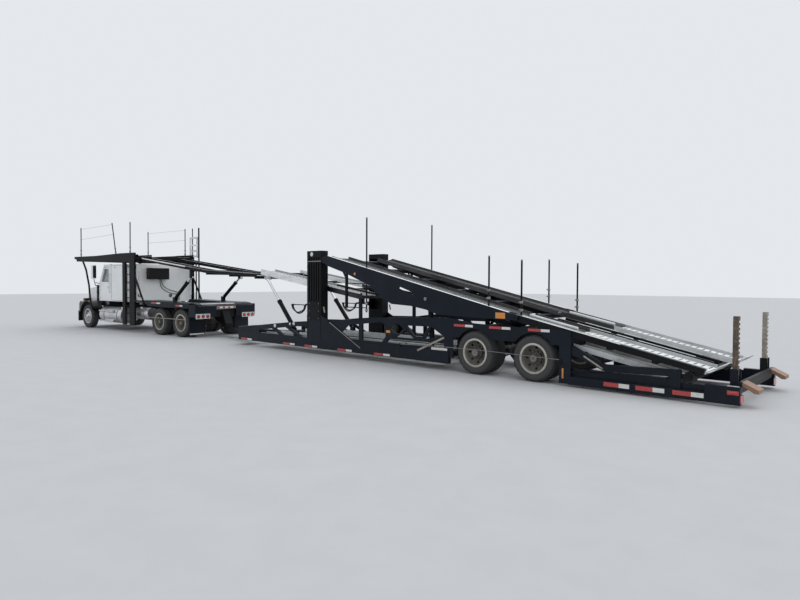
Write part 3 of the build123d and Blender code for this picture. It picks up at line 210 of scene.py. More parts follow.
class Look:
    """One material's node tree."""

    def __init__(self, name: str) -> None:
        """Starts an empty material, with the point on the piece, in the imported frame, as its first reading.

        Args:
            name: the material's name.
        """
        self.material = bpy.data.materials.new(name)
        self.material.use_nodes = True
        self.tree = self.material.node_tree
        self.tree.nodes.clear()
        self.place = self.node("ShaderNodeTexCoord", output="Object")

    def node(self, kind: str, settings: dict | None = None, values: dict | None = None,
             output: int | str = 0) -> Reading:
        """Adds any node.

        Args:
            kind: the node's type.
            settings: its properties, set first; "stops" fills a colour ramp.
            values: what goes into its sockets, by index or name: readings are linked, the rest is set.
            output: the socket that is returned.

        Returns:
            The chosen output.
        """
        made = self.tree.nodes.new(kind)
        for key, value in (settings or {}).items():
            if key == "stops":
                elements = made.color_ramp.elements
                while len(elements) < len(value):
                    elements.new(0.5)
                for element, (at, shade) in zip(elements, value):
                    element.position, element.color = at, (*shade, 1.0)
            else:
                setattr(made, key, value)
        for key, value in (values or {}).items():
            if isinstance(value, Reading):
                self.tree.links.new(value.socket, made.inputs[key])
            else:
                made.inputs[key].default_value = value
        return Reading(self, made.outputs[output])

    def site_place(self, ground: Ground, site: Site) -> Reading:
        """The point in a working frame: the shift and the turn of Ground.placed, undone.

        Args:
            ground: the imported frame.
            site: the working frame.

        Returns:
            The point.
        """
        zero = tuple(float(v) for v in ground.zero)
        moved = self.node("ShaderNodeVectorMath", {"operation": "SUBTRACT"}, {0: self.place, 1: zero})
        if site is Site.TRAILER:
            return moved
        turn = {"Vector": moved, "Location": (HITCH_X, 0.0, 0.0), "Rotation": (0.0, 0.0, TRACTOR_YAW)}
        return self.node("ShaderNodeMapping", {"vector_type": "TEXTURE"}, turn)

    def axis(self, place: Reading, index: int) -> Reading:
        """One coordinate of a point."""
        return self.node("ShaderNodeSeparateXYZ", values={0: place}, output=index)

    def stretched(self, scale: Point) -> Reading:
        """The point on the piece with each coordinate multiplied."""
        return self.node("ShaderNodeVectorMath", {"operation": "MULTIPLY"}, {0: self.place, 1: scale})

    def noise(self, scale: float, detail: float = 3.0, stretch: Point = (1.0, 1.0, 1.0),
              roughness: float = 0.55) -> Reading:
        """Cloudy noise around 0.5."""
        values = {"Vector": self.stretched(stretch), "Scale": scale, "Detail": detail, "Roughness": roughness}
        return self.node("ShaderNodeTexNoise", {"noise_dimensions": "3D"}, values)

    def cells(self, scale: float, output: str = "Distance") -> Reading:
        """Cell pattern: the distance to the nearest seed, or its random colour."""
        return self.node("ShaderNodeTexVoronoi", {}, {"Vector": self.place, "Scale": scale}, output)

    def mix(self, share: Value, first: Shade, second: Shade) -> Reading:
        """Two colours blended by a share."""
        first, second = (v if isinstance(v, Reading) else (*v, 1.0) for v in (first, second))
        return self.node("ShaderNodeMix", {"data_type": "RGBA"}, {0: share, 6: first, 7: second}, 2)

    def blend(self, share: Reading, first: Value, second: Value) -> Value:
        """Two values blended by a share; equal ones need no node."""
        values = {0: share, 2: first, 3: second}
        return first if first == second else self.node("ShaderNodeMix", {"data_type": "FLOAT"}, values)

    def overlaid(self, mask: Reading, under: Layer, top: Layer) -> Layer:
        """Two layers blended by a mask; coat and specular are the same all over, so they aren't blended.

        Args:
            mask: 0 where the lower layer shows and 1 where the upper one does.
            under: the lower layer.
            top: the upper layer.

        Returns:
            The layer.
        """
        colour = self.mix(mask, under.colour, top.colour)
        roughness = self.blend(mask, under.roughness, top.roughness)
        metallic = self.blend(mask, under.metallic, top.metallic)
        height = self.blend(mask, under.height, top.height)
        return Layer(colour, roughness, metallic, height, max(under.coat, top.coat), under.specular)

    def finish(self, layer: Layer, relief: float = 0.004) -> bpy.types.Material:
        """Ends the tree with the surface shader.

        Args:
            layer: the colours and values.
            relief: the height in metres of a step of 1 in the layer's height.

        Returns:
            The material.
        """
        values = {"Base Color": layer.colour, "Roughness": layer.roughness, "Metallic": layer.metallic,
                  "Coat Weight": layer.coat, "Specular IOR Level": layer.specular}
        if isinstance(layer.height, Reading):
            values["Normal"] = self.node("ShaderNodeBump", {}, {"Height": layer.height, "Distance": relief})
        shader = self.node("ShaderNodeBsdfPrincipled", {}, values)
        return self.end(shader)

    def end(self, shader: Reading) -> bpy.types.Material:
        """Puts a shader into the material's output.

        Args:
            shader: the shader's output.

        Returns:
            The material.
        """
        made = self.tree.nodes.new("ShaderNodeOutputMaterial")
        self.tree.links.new(shader.socket, made.inputs["Surface"])
        return self.material


# Finishes


class Finish:
    """A surface finish: it gives a layer, and makes its material once."""

    def layer(self, look: Look) -> Layer:
        """The finish's colours and values in a tree."""
        raise NotImplementedError

    def ended(self, look: Look) -> bpy.types.Material:
        """The finish's tree, ended with its shader."""
        return look.finish(self.layer(look))

    def material(self) -> bpy.types.Material:
        """The finish's material, made on first use."""
        known = bpy.data.materials.get(self.name)
        return known if known is not None else self.ended(Look(self.name))


@dataclass(frozen=True)
class Paint(Finish):
    """Sprayed paint: faded in clouds, dusty towards the ground, with runs of dirt and small chips."""

    name: str
    colour: Colour
    faded: Colour
    roughness: float = 0.42
    dust: float = 0.5
    chips: float = 0.5
    dust_colour: Colour = (0.23, 0.21, 0.19)
    chip_colour: Colour = (0.16, 0.075, 0.04)
    dust_top: float = 1.3
    coat: float = 0.0
    specular: float = 0.5

    def layer(self, look: Look) -> Layer:
        """Dust is height times clouds, runs are noise drawn out downwards, chips are the peaks of fine noise.

        Args:
            look: the material's tree.

        Returns:
            The layer.
        """
        height = look.axis(look.place, 2)
        clouds, fine = look.noise(1.1, 4.0), look.noise(23.0, 5.0)
        runs = look.noise(7.0, 4.0, (1.0, 1.0, 0.12))
        low = 1 - height.over(self.dust_top * 0.5, self.dust_top)
        dust = (low * 0.7 + 0.18) * (clouds * 0.6 + runs * 0.8 - 0.15) * self.dust
        chipped = (look.noise(41.0, 6.0, roughness=0.6) + clouds * 0.16).over(0.79 - 0.09 * self.chips, 0.025)
        base = look.mix(clouds.over(0.5, 0.5), self.colour, self.faded)
        dirty = look.mix(dust.over(0.3, 0.75), base, self.dust_colour)
        shade = look.mix(chipped * self.chips, dirty, self.chip_colour)
        return Layer(shade, self.roughness + dust * 0.5 + chipped * 0.15, 0.0,
                     fine * 0.10 + clouds * 0.2 - chipped * 0.25, self.coat, self.specular)


@dataclass(frozen=True)
class Galvanised(Finish):
    """Zinc-dipped steel: pale crystals, grey smears from tyres and a few rusty spots."""

    name: str
    colour: Colour = (0.60, 0.61, 0.61)
    dark: Colour = (0.36, 0.37, 0.37)
    rust: float = 0.4
    metal: float = 0.35
    roughness: float = 0.45
    rust_colour: Colour = (0.22, 0.10, 0.05)

    def layer(self, look: Look) -> Layer:
        """Crystals are random cells, smears are noise drawn out lengthwise, rust sits on the noise's peaks.

        Args:
            look: the material's tree.

        Returns:
            The layer.
        """
        crystals = look.axis(look.cells(70.0, "Color"), 0)
        smears = look.noise(5.0, 5.0, (0.22, 1.6, 1.0), 0.62)
        clouds = look.noise(2.3, 3.0)
        worn = (smears * 0.9 + clouds * 0.35 + crystals * 0.10).over(0.73, 0.42)
        spots = (look.noise(17.0, 7.0, roughness=0.65) + clouds * 0.2).over(0.80 - 0.08 * self.rust, 0.07)
        shade = look.mix(spots * self.rust, look.mix(worn, self.colour, self.dark), self.rust_colour)
        return Layer(shade, self.roughness + worn * 0.2 + spots * 0.25, self.metal * (1 - spots),
                     smears * 0.2 + crystals * 0.05)


@dataclass(frozen=True)
class Rubber(Finish):
    """Tyre rubber: near black, brown-grey dust in the grooves and on the walls, fine wear."""

    name: str
    colour: Colour = (0.028, 0.028, 0.029)
    dust_colour: Colour = (0.13, 0.12, 0.11)
    dust: float = 0.8

    def layer(self, look: Look) -> Layer:
        """Dust is clouds plus fine grain, stronger near the ground.

        Args:
            look: the material's tree.

        Returns:
            The layer.
        """
        clouds, grain = look.noise(3.1, 5.0), look.noise(90.0, 3.0)
        height = look.axis(look.place, 2)
        dust = (clouds * 0.9 + grain * 0.3 - height * 0.12).over(0.62, 0.55) * self.dust
        shade = look.mix(dust, self.colour, self.dust_colour)
        return Layer(shade, 0.72 + dust * 0.2, 0.0, grain * 0.12)


@dataclass(frozen=True)
class Metal(Finish):
    """Bare metal: brushed, polished or cast, with grime in clouds."""

    name: str
    colour: Colour
    roughness: float
    grime: float = 0.4
    grain: float = 60.0
    stretch: Point = (1.0, 1.0, 1.0)
    grime_colour: Colour = (0.10, 0.09, 0.08)
    metal: float = 1.0

    def layer(self, look: Look) -> Layer:
        """Grain is fine noise, drawn out where the metal is brushed; grime dulls it.

        Args:
            look: the material's tree.

        Returns:
            The layer.
        """
        clouds = look.noise(2.7, 5.0)
        grain = look.noise(self.grain, 3.0, self.stretch)
        grime = (clouds + grain * 0.25).over(0.68, 0.4) * self.grime
        shade, roughness = look.mix(grime, self.colour, self.grime_colour), self.roughness + grime * 0.35
        return Layer(shade, roughness + grain * 0.06, self.metal * (1 - grime), grain * 0.1)


@dataclass(frozen=True)
class Plastic(Finish):
    """Moulded or trimmed plastic with a fine grain and pale scuffs."""

    name: str
    colour: Colour
    roughness: float = 0.55
    dust_colour: Colour = (0.20, 0.19, 0.18)

    def layer(self, look: Look) -> Layer:
        """Grain is a cell pattern, dust lies in soft clouds.

        Args:
            look: the material's tree.

        Returns:
            The layer.
        """
        clouds, grain = look.noise(4.0, 4.0), look.cells(420.0)
        dust = clouds.over(0.62, 0.35) * 0.35
        shade = look.mix(dust, self.colour, self.dust_colour)
        return Layer(shade, self.roughness + dust * 0.3, 0.0, grain * 0.05)


@dataclass(frozen=True)
class Lens(Finish):
    """A coloured lamp lens with moulded ribs and a clear coat."""

    name: str
    colour: Colour
    dust_colour: Colour = (0.25, 0.22, 0.20)
    ribs_per_metre: float = 90.0

    def layer(self, look: Look) -> Layer:
        """Ribs are a saw wave along the height, and the colour is darker in their valleys: a painted shade.

        Args:
            look: the material's tree.

        Returns:
            The layer.
        """
        height = look.axis(look.place, 2)
        rib = ((height * self.ribs_per_metre) % 1.0 - 0.5).size()
        dull = look.noise(30.0, 3.0).over(0.6, 0.3) * 0.3
        # painted shade: the lens colour darkens towards the rib valleys
        shade = look.mix(rib, self.colour, tuple(v * 0.55 for v in self.colour))
        return Layer(look.mix(dull, shade, self.dust_colour), 0.18 + dull * 0.4, 0.0, rib * 0.3, 0.6)


@dataclass(frozen=True)
class Rust(Finish):
    """Bare steel gone brown: dark scale, orange bloom and rubbed places."""

    name: str
    colour: Colour = (0.20, 0.105, 0.06)
    bloom: Colour = (0.36, 0.19, 0.10)
    scale_colour: Colour = (0.07, 0.05, 0.045)
    rubbed_colour: Colour = (0.34, 0.29, 0.25)

    def layer(self, look: Look) -> Layer:
        """Bloom and scale are two clouds of different size.

        Args:
            look: the material's tree.

        Returns:
            The layer.
        """
        wide, fine = look.noise(3.4, 6.0), look.noise(26.0, 6.0)
        shade = look.mix(wide.over(0.55, 0.3), self.colour, self.scale_colour)
        shade = look.mix(fine.over(0.56, 0.2), shade, self.bloom)
        rubbed = (fine * 0.5 + wide * 0.5).over(0.62, 0.1)
        shade = look.mix(rubbed * 0.5, shade, self.rubbed_colour)
        return Layer(shade, 0.85 - rubbed * 0.3, rubbed * 0.4, fine * 0.4)


@dataclass(frozen=True)
class Glazing(Finish):
    """Tinted window glass with a film of dust."""

    name: str
    tint: Colour = (0.30, 0.38, 0.37)
    cover: float = 0.62
    dust_colour: Colour = (0.4, 0.4, 0.38)
    coat: float = 0.3

    def layer(self, look: Look) -> Layer:
        """The tint, with dust in soft clouds."""
        dust = look.noise(3.0, 4.0).over(0.55, 0.5) * 0.25
        return Layer(look.mix(dust, self.tint, self.dust_colour), 0.05 + dust * 0.3)

    def ended(self, look: Look) -> bpy.types.Material:
        """A see-through surface: its alpha is the cover, which clouds of dust raise.

        Args:
            look: the material's tree.

        Returns:
            The material.
        """
        layer = self.layer(look)
        cover = self.cover + look.noise(3.0, 4.0).over(0.55, 0.5) * 0.12
        values = {"Base Color": layer.colour, "Roughness": layer.roughness, "Alpha": cover,
                  "Coat Weight": self.coat}
        return look.end(look.node("ShaderNodeBsdfPrincipled", {}, values))


@dataclass(frozen=True)
class Zone:
    """A block of a working frame that wears another finish; a limit left out doesn't bound it."""

    finish: Finish
    x: Pair | None = None
    y: Pair | None = None
    z: Pair | None = None


@dataclass(frozen=True)
class Zoned(Finish):
    """One finish, with others inside blocks of the working frame."""

    name: str
    base: Finish
    zones: tuple[Zone, ...]
    ground: Ground
    site: Site

    def layer(self, look: Look) -> Layer:
        """Each zone's mask is the product of its limits' masks; y counts outwards from the centre line.

        Args:
            look: the material's tree.

        Returns:
            The layer.
        """
        place = look.site_place(self.ground, self.site)
        x, y, z = (look.axis(place, n) for n in range(3))
        across, made = y.size(), self.base.layer(look)
        for zone in self.zones:
            mask: Reading | None = None
            for reading, limits in ((x, zone.x), (across, zone.y), (z, zone.z)):
                if limits is not None:
                    part = reading.within(*limits)
                    mask = part if mask is None else mask * part
            made = look.overlaid(mask, made, zone.finish.layer(look))
        return made


SOOT = (0.050, 0.049, 0.047)
FRAME_NAVY = Paint("frame_navy", (0.0018, 0.0052, 0.012), (0.0045, 0.010, 0.019), 0.34, dust=0.20, chips=0.4,
                   dust_colour=SOOT, specular=0.16)
FRAME_BLACK = Paint("frame_black", (0.0025, 0.0032, 0.0045), (0.006, 0.007, 0.009), 0.42, dust=0.20,
                    chips=0.5, dust_colour=SOOT, specular=0.12)
CAB_WHITE = Paint("cab_white", (0.86, 0.87, 0.87), (0.79, 0.80, 0.80), 0.28, dust=0.20, chips=0.12,
                  dust_colour=(0.46, 0.44, 0.40), dust_top=1.8, coat=0.4)
GUARD_BLACK = Paint("guard_black", (0.004, 0.004, 0.005), (0.010, 0.010, 0.011), 0.34, dust=0.30, chips=0.3,
                    dust_colour=SOOT, specular=0.2)
ZINC = Galvanised("zinc", (0.70, 0.71, 0.71), (0.40, 0.41, 0.41), metal=0.2)
# Pale zinc; also the colour of the painted highlight strips along the decks' and rails' edges.
ZINC_BRIGHT = Galvanised("zinc_bright", (0.86, 0.87, 0.87), (0.58, 0.59, 0.59), 0.3, 0.1, 0.4)
# Zinc darkened far below its own tone: worn steel, with painted shade for surfaces that lie in shade.
ZINC_WORN_AND_SHADED = Galvanised("zinc_worn", (0.085, 0.085, 0.088), (0.028, 0.028, 0.03), 0.6, 0.1, 0.6)
# Dark zinc that paints the shade inside the track channels, between their bright lips.
ZINC_SHADED = Galvanised("zinc_dark", (0.10, 0.105, 0.11), (0.05, 0.05, 0.055), 0.6, 0.2, 0.6)
RIM_CREAM = Paint("rim_cream", (0.62, 0.60, 0.52), (0.50, 0.47, 0.40), 0.5, dust=0.7, chips=0.5)
RIM_WORN = Paint("rim_worn", (0.060, 0.052, 0.042), (0.032, 0.028, 0.024), 0.6, dust=0.5, chips=0.9)
ALLOY = Metal("alloy", (0.62, 0.62, 0.63), 0.26, 0.35, 40.0)
DULL_ALLOY = Metal("dull_alloy", (0.66, 0.66, 0.67), 0.30, 0.30, 70.0, (0.15, 1.0, 1.0))
CHROME = Metal("chrome", (0.72, 0.72, 0.73), 0.10, 0.15)
CAST = Metal("cast_iron", (0.06, 0.058, 0.056), 0.62, 0.5, 80.0, metal=0.4)
STEEL = Metal("worn_steel", (0.30, 0.29, 0.28), 0.42, 0.6, 50.0, metal=0.7)
TYRE = Rubber("tyre_rubber")
HOSE = Rubber("hose_rubber", dust=0.35)
TRIM = Plastic("trim_black", (0.022, 0.022, 0.023))
SEAT = Plastic("seat_grey", (0.10, 0.10, 0.105), 0.75)
GLASS = Glazing("window_glass")
RED_LENS = Lens("red_lens", (0.52, 0.02, 0.015))
AMBER_LENS = Lens("amber_lens", (0.75, 0.26, 0.03))
CLEAR_LENS = Lens("clear_lens", (0.70, 0.70, 0.68))
STRIP_RED = Lens("strip_red", (0.50, 0.03, 0.025))
STRIP_WHITE = Lens("strip_white", (0.80, 0.80, 0.76))
PIN_WHITE = Paint("pin_white", (0.80, 0.80, 0.78), (0.62, 0.61, 0.58), 0.4, dust=0.2, chips=0.3)
RAMP_RUST = Rust("ramp_rust", (0.115, 0.062, 0.040), (0.20, 0.115, 0.070), (0.035, 0.028, 0.025))
POST_RUST = Rust("post_rust", (0.10, 0.075, 0.055), (0.17, 0.12, 0.085), (0.045, 0.04, 0.036))
POST_PALE = Rust("post_pale", (0.30, 0.27, 0.23), (0.40, 0.36, 0.31), (0.22, 0.19, 0.16))


@dataclass(frozen=True)
class Banded(Finish):
    """A wheel's two finishes: one inside a radius about the axle, the other outside."""

    name: str
    inner: Finish
    outer: Finish
    ground: Ground
    site: Site
    x: float
    z: float
    split: float

    def layer(self, look: Look) -> Layer:
        """The mask is the squared distance from the axle's line, past that of the split.

        Args:
            look: the material's tree.

        Returns:
            The layer.
        """
        place = look.site_place(self.ground, self.site)
        dx, dz = look.axis(place, 0) - self.x, look.axis(place, 2) - self.z
        mask = (dx * dx + dz * dz).over(self.split ** 2, 0.003)
        return look.overlaid(mask, self.inner.layer(look), self.outer.layer(look))


# Surfaces


@dataclass
class Form:
    """A surface: points of shape (n, 3) and faces as index tuples."""

    points: np.ndarray
    faces: list[tuple[int, ...]]

    @staticmethod
    def joined(forms: Iterable["Form"]) -> "Form":
        """Several forms as one, with their indices moved on.

        Args:
            forms: the forms.

        Returns:
            The one form.
        """
        points: list[np.ndarray] = []
        faces: list[tuple[int, ...]] = []
        count = 0
        for form in forms:
            points.append(form.points)
            faces += [tuple(i + count for i in face) for face in form.faces]
            count += len(form.points)
        return Form(np.concatenate(points), faces)

    def mirrored(self) -> "Form":
        """The form on the other side of the centre line, its faces turned back outwards."""
        return Form(self.points * np.array([1.0, -1.0, 1.0]), [face[::-1] for face in self.faces])

    def copies(self, shifts: np.ndarray) -> "Form":
        """The form once at each shift, worked out as one array.

        Args:
            shifts: the shifts, of shape (n, 3).

        Returns:
            All copies as one form.
        """
        count = len(self.points)
        points = (self.points[None] + shifts[:, None]).reshape(-1, 3)
        faces = [tuple(i + count * n for i in face) for n in range(len(shifts)) for face in self.faces]
        return Form(points, faces)


def both_sides(forms: Iterable[Form]) -> list[Form]:
    """Forms and their mirror images."""
    return [made for form in forms for made in (form, form.mirrored())]


def sheet(points: np.ndarray, wrap_u: bool = False, wrap_v: bool = False) -> Form:
    """A grid of points (u, v, 3) as quads; a wrapped direction joins its last row to its first.

    Args:
        points: the grid.
        wrap_u, wrap_v: whether that direction is wrapped.

    Returns:
        The surface.
    """
    nu, nv = points.shape[:2]
    u, v = np.arange(nu if wrap_u else nu - 1), np.arange(nv if wrap_v else nv - 1)
    a, b = np.meshgrid(u, v, indexing="ij")
    a2, b2 = (a + 1) % nu, (b + 1) % nv
    quads = np.stack([a * nv + b, a2 * nv + b, a2 * nv + b2, a * nv + b2], axis=-1).reshape(-1, 4)
    return Form(points.reshape(-1, 3), [tuple(q) for q in quads.tolist()])


def lathe(profile: Sequence[Pair], centre: Point, turns: int = 32, axis: str = "y",
          closed: bool = False) -> Form:
    """A profile of (radius, distance along the axis) turned about an axis through the centre.

    Args:
        profile: the points of the profile; a radius of 0 closes the form at a pole.
        centre: the axis's zero.
        turns: steps round the axis.
        axis: "x", "y" or "z".
        closed: whether the profile's last point joins its first.

    Returns:
        The turned surface.
    """
    r, w = np.array(profile, float).T
    angle = np.arange(turns) * 2 * np.pi / turns
    a, b = np.outer(np.cos(angle), r), np.outer(np.sin(angle), r)
    along = np.broadcast_to(w, a.shape)
    order = {"x": (along, a, b), "y": (b, along, a), "z": (a, b, along)}[axis]
    return sheet(np.stack(order, axis=-1) + np.array(centre), wrap_u=True, wrap_v=closed)


def carried(section: np.ndarray, path: np.ndarray, up: Point = UP, edge: float = 0.0) -> Form:
    """A closed section carried along a path, with capped and, if wanted, bevelled ends.

    Each ring is path + side * u + top * v, where side is up x tangent and top is tangent x side.

    Args:
        section: outline points (u, v) in order.
        path: points of the middle line.
        up: the direction that v follows.
        edge: how far both ends are bevelled.

    Returns:
        The closed solid's surface.
    """
    path = np.asarray(path, float)
    tangent = np.gradient(path, axis=0)
    tangent /= np.linalg.norm(tangent, axis=1)[:, None]
    side = np.cross(np.broadcast_to(np.asarray(up, float), tangent.shape), tangent)
    side /= np.linalg.norm(side, axis=1)[:, None]
    top = np.cross(tangent, side)
    rings = path[:, None] + side[:, None] * section[None, :, :1] + top[:, None] * section[None, :, 1:]
    if edge > 0:
        size = np.abs(section).max(axis=0)
        small = section * (1 - edge / size)[None]
        ends = []
        for n, sign in ((0, 1), (-1, -1)):
            ends.append(path[n] + side[n] * small[:, :1] + top[n] * small[:, 1:])
            rings[n] += tangent[n] * edge * sign
        rings = np.concatenate([ends[0][None], rings, ends[1][None]])
    form = sheet(rings, wrap_v=True)
    k, n = len(section), len(rings)
    form.faces += [tuple(range(k))[::-1], tuple(range((n - 1) * k, n * k))]
    return form


def rectangle(width: float, depth: float, edge: float) -> np.ndarray:
    """A rectangle's outline with cut corners.

    Args:
        width, depth: its sizes along u and v.
        edge: how much a corner's cut takes off both sides.

    Returns:
        Eight points.
    """
    w, d, e = width / 2, depth / 2, edge
    return np.array([(w - e, -d), (w, -d + e), (w, d - e), (w - e, d), (-w + e, d), (-w, d - e), (-w, -d + e),
                     (-w + e, -d)])


def ring(radius: float, count: int = 16) -> np.ndarray:
    """A circle's outline."""
    angle = np.arange(count) * 2 * np.pi / count
    return np.stack([np.cos(angle), np.sin(angle)], axis=1) * radius


def block(x: Pair, y: Pair, z: Pair, edge: float = 0.004) -> Form:
    """A block with bevelled edges: a rectangle carried along x.

    Args:
        x, y, z: its limits on each axis.
        edge: the bevel, at most a third of its thinnest side.

    Returns:
        The block.
    """
    sizes = [limits[1] - limits[0] for limits in (x, y, z)]
    edge = min(edge, *[size / 3 for size in sizes])
    line = np.array([(at, sum(y) / 2, sum(z) / 2) for at in x])
    return carried(rectangle(sizes[1], sizes[2], edge), line, edge=edge)


def beam(start: Point, end: Point, width: float, depth: float, edge: float = 0.004) -> Form:
    """A bevelled bar between two points: a rectangle carried from one to the other."""
    up = UP if math.dist(start[:2], end[:2]) > 0.02 else AHEAD
    return carried(rectangle(width, depth, edge), np.array([start, end]), up, edge)


def rod_form(start: Point, end: Point, radius: float, count: int = 16) -> Form:
    """A round bar with bevelled ends between two points."""
    steep = abs(end[2] - start[2]) >= 0.9 * math.dist(start, end)
    return carried(ring(radius, count), np.array([start, end]), AHEAD if steep else UP, radius * 0.2)


def smooth_path(points: Sequence[Point], steps: int = 8) -> np.ndarray:
    """A smooth line through points: each run is the cubic that leaves and enters along its neighbours.

    Args:
        points: what the line goes through.
        steps: steps on each run.

    Returns:
        The line's points.
    """
    p = np.array([points[0], *points, points[-1]], float)
    t = np.linspace(0, 1, steps, endpoint=False)[:, None]
    runs = [b + 0.5 * ((c - a) * t + (2 * a - 5 * b + 4 * c - d) * t ** 2 + (3 * b - a - 3 * c + d) * t ** 3)
            for a, b, c, d in zip(p, p[1:], p[2:], p[3:])]
    return np.concatenate([*runs, p[-1:]])


def pipe(points: Sequence[Point], radius: float, count: int = 10, up: Point = UP) -> Form:
    """A round pipe along a smooth line through points."""
    return carried(ring(radius, count), smooth_path(points), up)


def lens_dome(centre: Point, half: Pair, depth: float, facing: Point, turns: int = 20) -> Form:
    """A domed lens on a flat foot: radius sin(v) and rise cos(v) to the power 0.7, over a turn u.

    Args:
        centre: the middle of its foot.
        half: its half sizes, level and upright.
        depth: how far it stands out.
        facing: the level direction in which it looks.
        turns: steps round.

    Returns:
        The closed dome.
    """
    out = np.array(facing, float)
    level = np.cross(UP, out)
    v = np.linspace(0, np.pi / 2, 6)
    u = np.arange(turns) * 2 * np.pi / turns
    radius = np.concatenate([np.sin(v), [1.0, 0.0]])
    rise = np.concatenate([np.cos(v) ** 0.7 * depth, [-0.004, -0.004]])
    points = (np.outer(np.cos(u), radius)[..., None] * level * half[0]
              + np.outer(np.sin(u), radius)[..., None] * np.array([0.0, 0.0, half[1]])
              + np.broadcast_to(rise, (turns, len(rise)))[..., None] * out)
    return sheet(points + np.array(centre), wrap_u=True)


def round_axle(count: int, radius: float, turn: float = 0.0) -> np.ndarray:
    """Shifts evenly round an axle, (cos, 0, sin) times the radius; the first is turned by some steps."""
    angle = (np.arange(count) + turn) * 2 * np.pi / count
    return np.stack([np.cos(angle), np.zeros(count), np.sin(angle)], axis=1) * radius


def hex_nut(centre: Point, radius: float, height: float, axis: str, sign: int) -> Form:
    """A nut: a flange, six flats and a crowned end.

    Args:
        centre: the middle of its foot.
        radius: half its width across corners.
        height: how far it stands out.
        axis, sign: the axis that it stands along, and which way.

    Returns:
        The nut.
    """
    r, h = radius, sign * height
    flats = lathe([(0, 0), (r, 0), (r, h * 0.8), (r * 0.8, h), (0, h)], centre, 6, axis)
    low = h * 0.25
    flange = lathe([(0, 0), (r * 1.3, 0), (r * 1.3, h * 0.18), (r * 0.9, low), (0, low)], centre, 14, axis)
    return Form.joined([flats, flange])


class Maker:
    """Turns forms into pieces of the scene."""

    def __init__(self, ground: Ground) -> None:
        """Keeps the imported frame."""
        self.ground = ground

    def piece(self, name: str, forms: Iterable[Form], body: str, finish: Finish, site: Site,
              smooth: float = 32.0) -> bpy.types.Object:
        """Makes one object from forms, closes it, points its faces outwards and lets it ride.

        Args:
            name: the piece's name.
            forms: its surfaces in a working frame.
            body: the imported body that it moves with.
            finish: its finish.
            site: the working frame.
            smooth: edges flatter than this many degrees are shaded smooth.

        Returns:
            The object.
        """
        form = Form.joined(forms)
        mesh = bpy.data.meshes.new(name)
        mesh.from_pydata(self.ground.placed(form.points, site).tolist(), [], form.faces)
        made = bmesh.new()
        made.from_mesh(mesh)
        bmesh.ops.remove_doubles(made, verts=made.verts, dist=2e-6)
        bmesh.ops.recalc_face_normals(made, faces=made.faces)
        limit = math.radians(smooth)
        for face in made.faces:
            face.smooth = True
        for edge in made.edges:
            edge.smooth = edge.calc_face_angle(math.pi) < limit
        made.to_mesh(mesh)
        made.free()
        mesh.materials.append(finish.material())
        obj = bpy.data.objects.new(name, mesh)
        bpy.context.scene.collection.objects.link(obj)
        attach(obj, body)
        log.info("%s rides on %s: %d faces", name, body, len(mesh.polygons))
        return obj

    def dress(self, node: str, finish: Finish) -> None:
        """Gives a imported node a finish.

        Args:
            node: the node's name.
            finish: the finish.
        """
        mesh = self.ground.nodes[node].data
        mesh.materials.clear()
        mesh.materials.append(finish.material())


# Wheels


@dataclass
class Tyres:
    """Tyres with a ribbed tread, one mesh for each wheel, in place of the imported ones."""

    maker: Maker
    radius: float
    width: float
    rim: float
    turns: int = 132
    groove: float = 0.013
    groove_places: tuple[float, ...] = (0.66, 0.24, -0.24, -0.66)
    groove_half: Pair = (0.0085, 0.0055)
    swing: float = 0.0035
    notch: float = 0.009

    def section(self) -> tuple[np.ndarray, np.ndarray, np.ndarray]:
        """The tyre's section from bead to bead.

        The walls follow a superellipse: half width times sin(a) to the power 0.55 against height times
        cos(a) to the power 0.5. The tread between them is nearly flat and is cut by four grooves.

        Returns:
            Widths, radii, and for each point how far it swings along the zigzag.
        """
        half, bead = self.width / 2, self.rim + 0.006
        a = np.linspace(1.0, 0.30, 9) * np.pi / 2
        wall_w = half * np.sin(a) ** 0.55 * (1 - 0.22 * (1 - np.cos(a) ** 0.5) ** 2)
        wall_r = bead + (self.radius - 0.006 - bead) * np.cos(a) ** 0.5
        top, foot = self.groove_half
        edge, places = half * 0.80, np.array(self.groove_places)[:, None]
        tread_w = (places * edge + np.array([top, foot, -foot, -top])).ravel()
        tread_r = (self.radius - self.groove * np.array([0.0, 1.0, 1.0, 0.0]) - 0.004 * places ** 2).ravel()
        w = np.concatenate([wall_w, [edge], tread_w, [-edge], -wall_w[::-1]])
        r = np.concatenate([wall_r, [self.radius - 0.007], tread_r, [self.radius - 0.007], wall_r[::-1]])
        zigzag = np.concatenate([np.zeros(10), np.full(len(tread_w), self.swing), np.zeros(10)])
        return w, r, zigzag

    def tyre(self, centre: Point) -> Form:
        """One tyre: the section turned about the axle, grooves in a zigzag and notches in the shoulders.

        Args:
            centre: the tyre's middle.

        Returns:
            The closed tyre.
        """
        w, r, zigzag = self.section()
        u = np.arange(self.turns)
        angle = u * 2 * np.pi / self.turns
        wave = (np.abs(u % 6 - 3) - 1.5)[:, None] / 1.5
        width = w[None] + wave * zigzag[None]
        notch = np.where(u % 4 == 0, self.notch, 0.0)[:, None]
        at_shoulder = (np.abs(w) >= np.abs(w[9]) - 1e-6) & (r > self.radius * 0.93)
        radius = r[None] - notch * at_shoulder[None]
        points = np.stack([np.cos(angle)[:, None] * radius, width, np.sin(angle)[:, None] * radius], axis=-1)
        points += np.array(centre)
        return Form.joined([sheet(points, wrap_u=True), sheet(points[:, [-1, 0]], wrap_u=True)])

    def build(self, name: str, body: str, centres: Sequence[Point], site: Site) -> None:
        """Makes the tyres of one wheel, from each one's middle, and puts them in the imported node's place."""
        made = self.maker.piece(f"{name}_tread", [self.tyre(c) for c in centres], body, TYRE, site, 40.0)
        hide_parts(name)


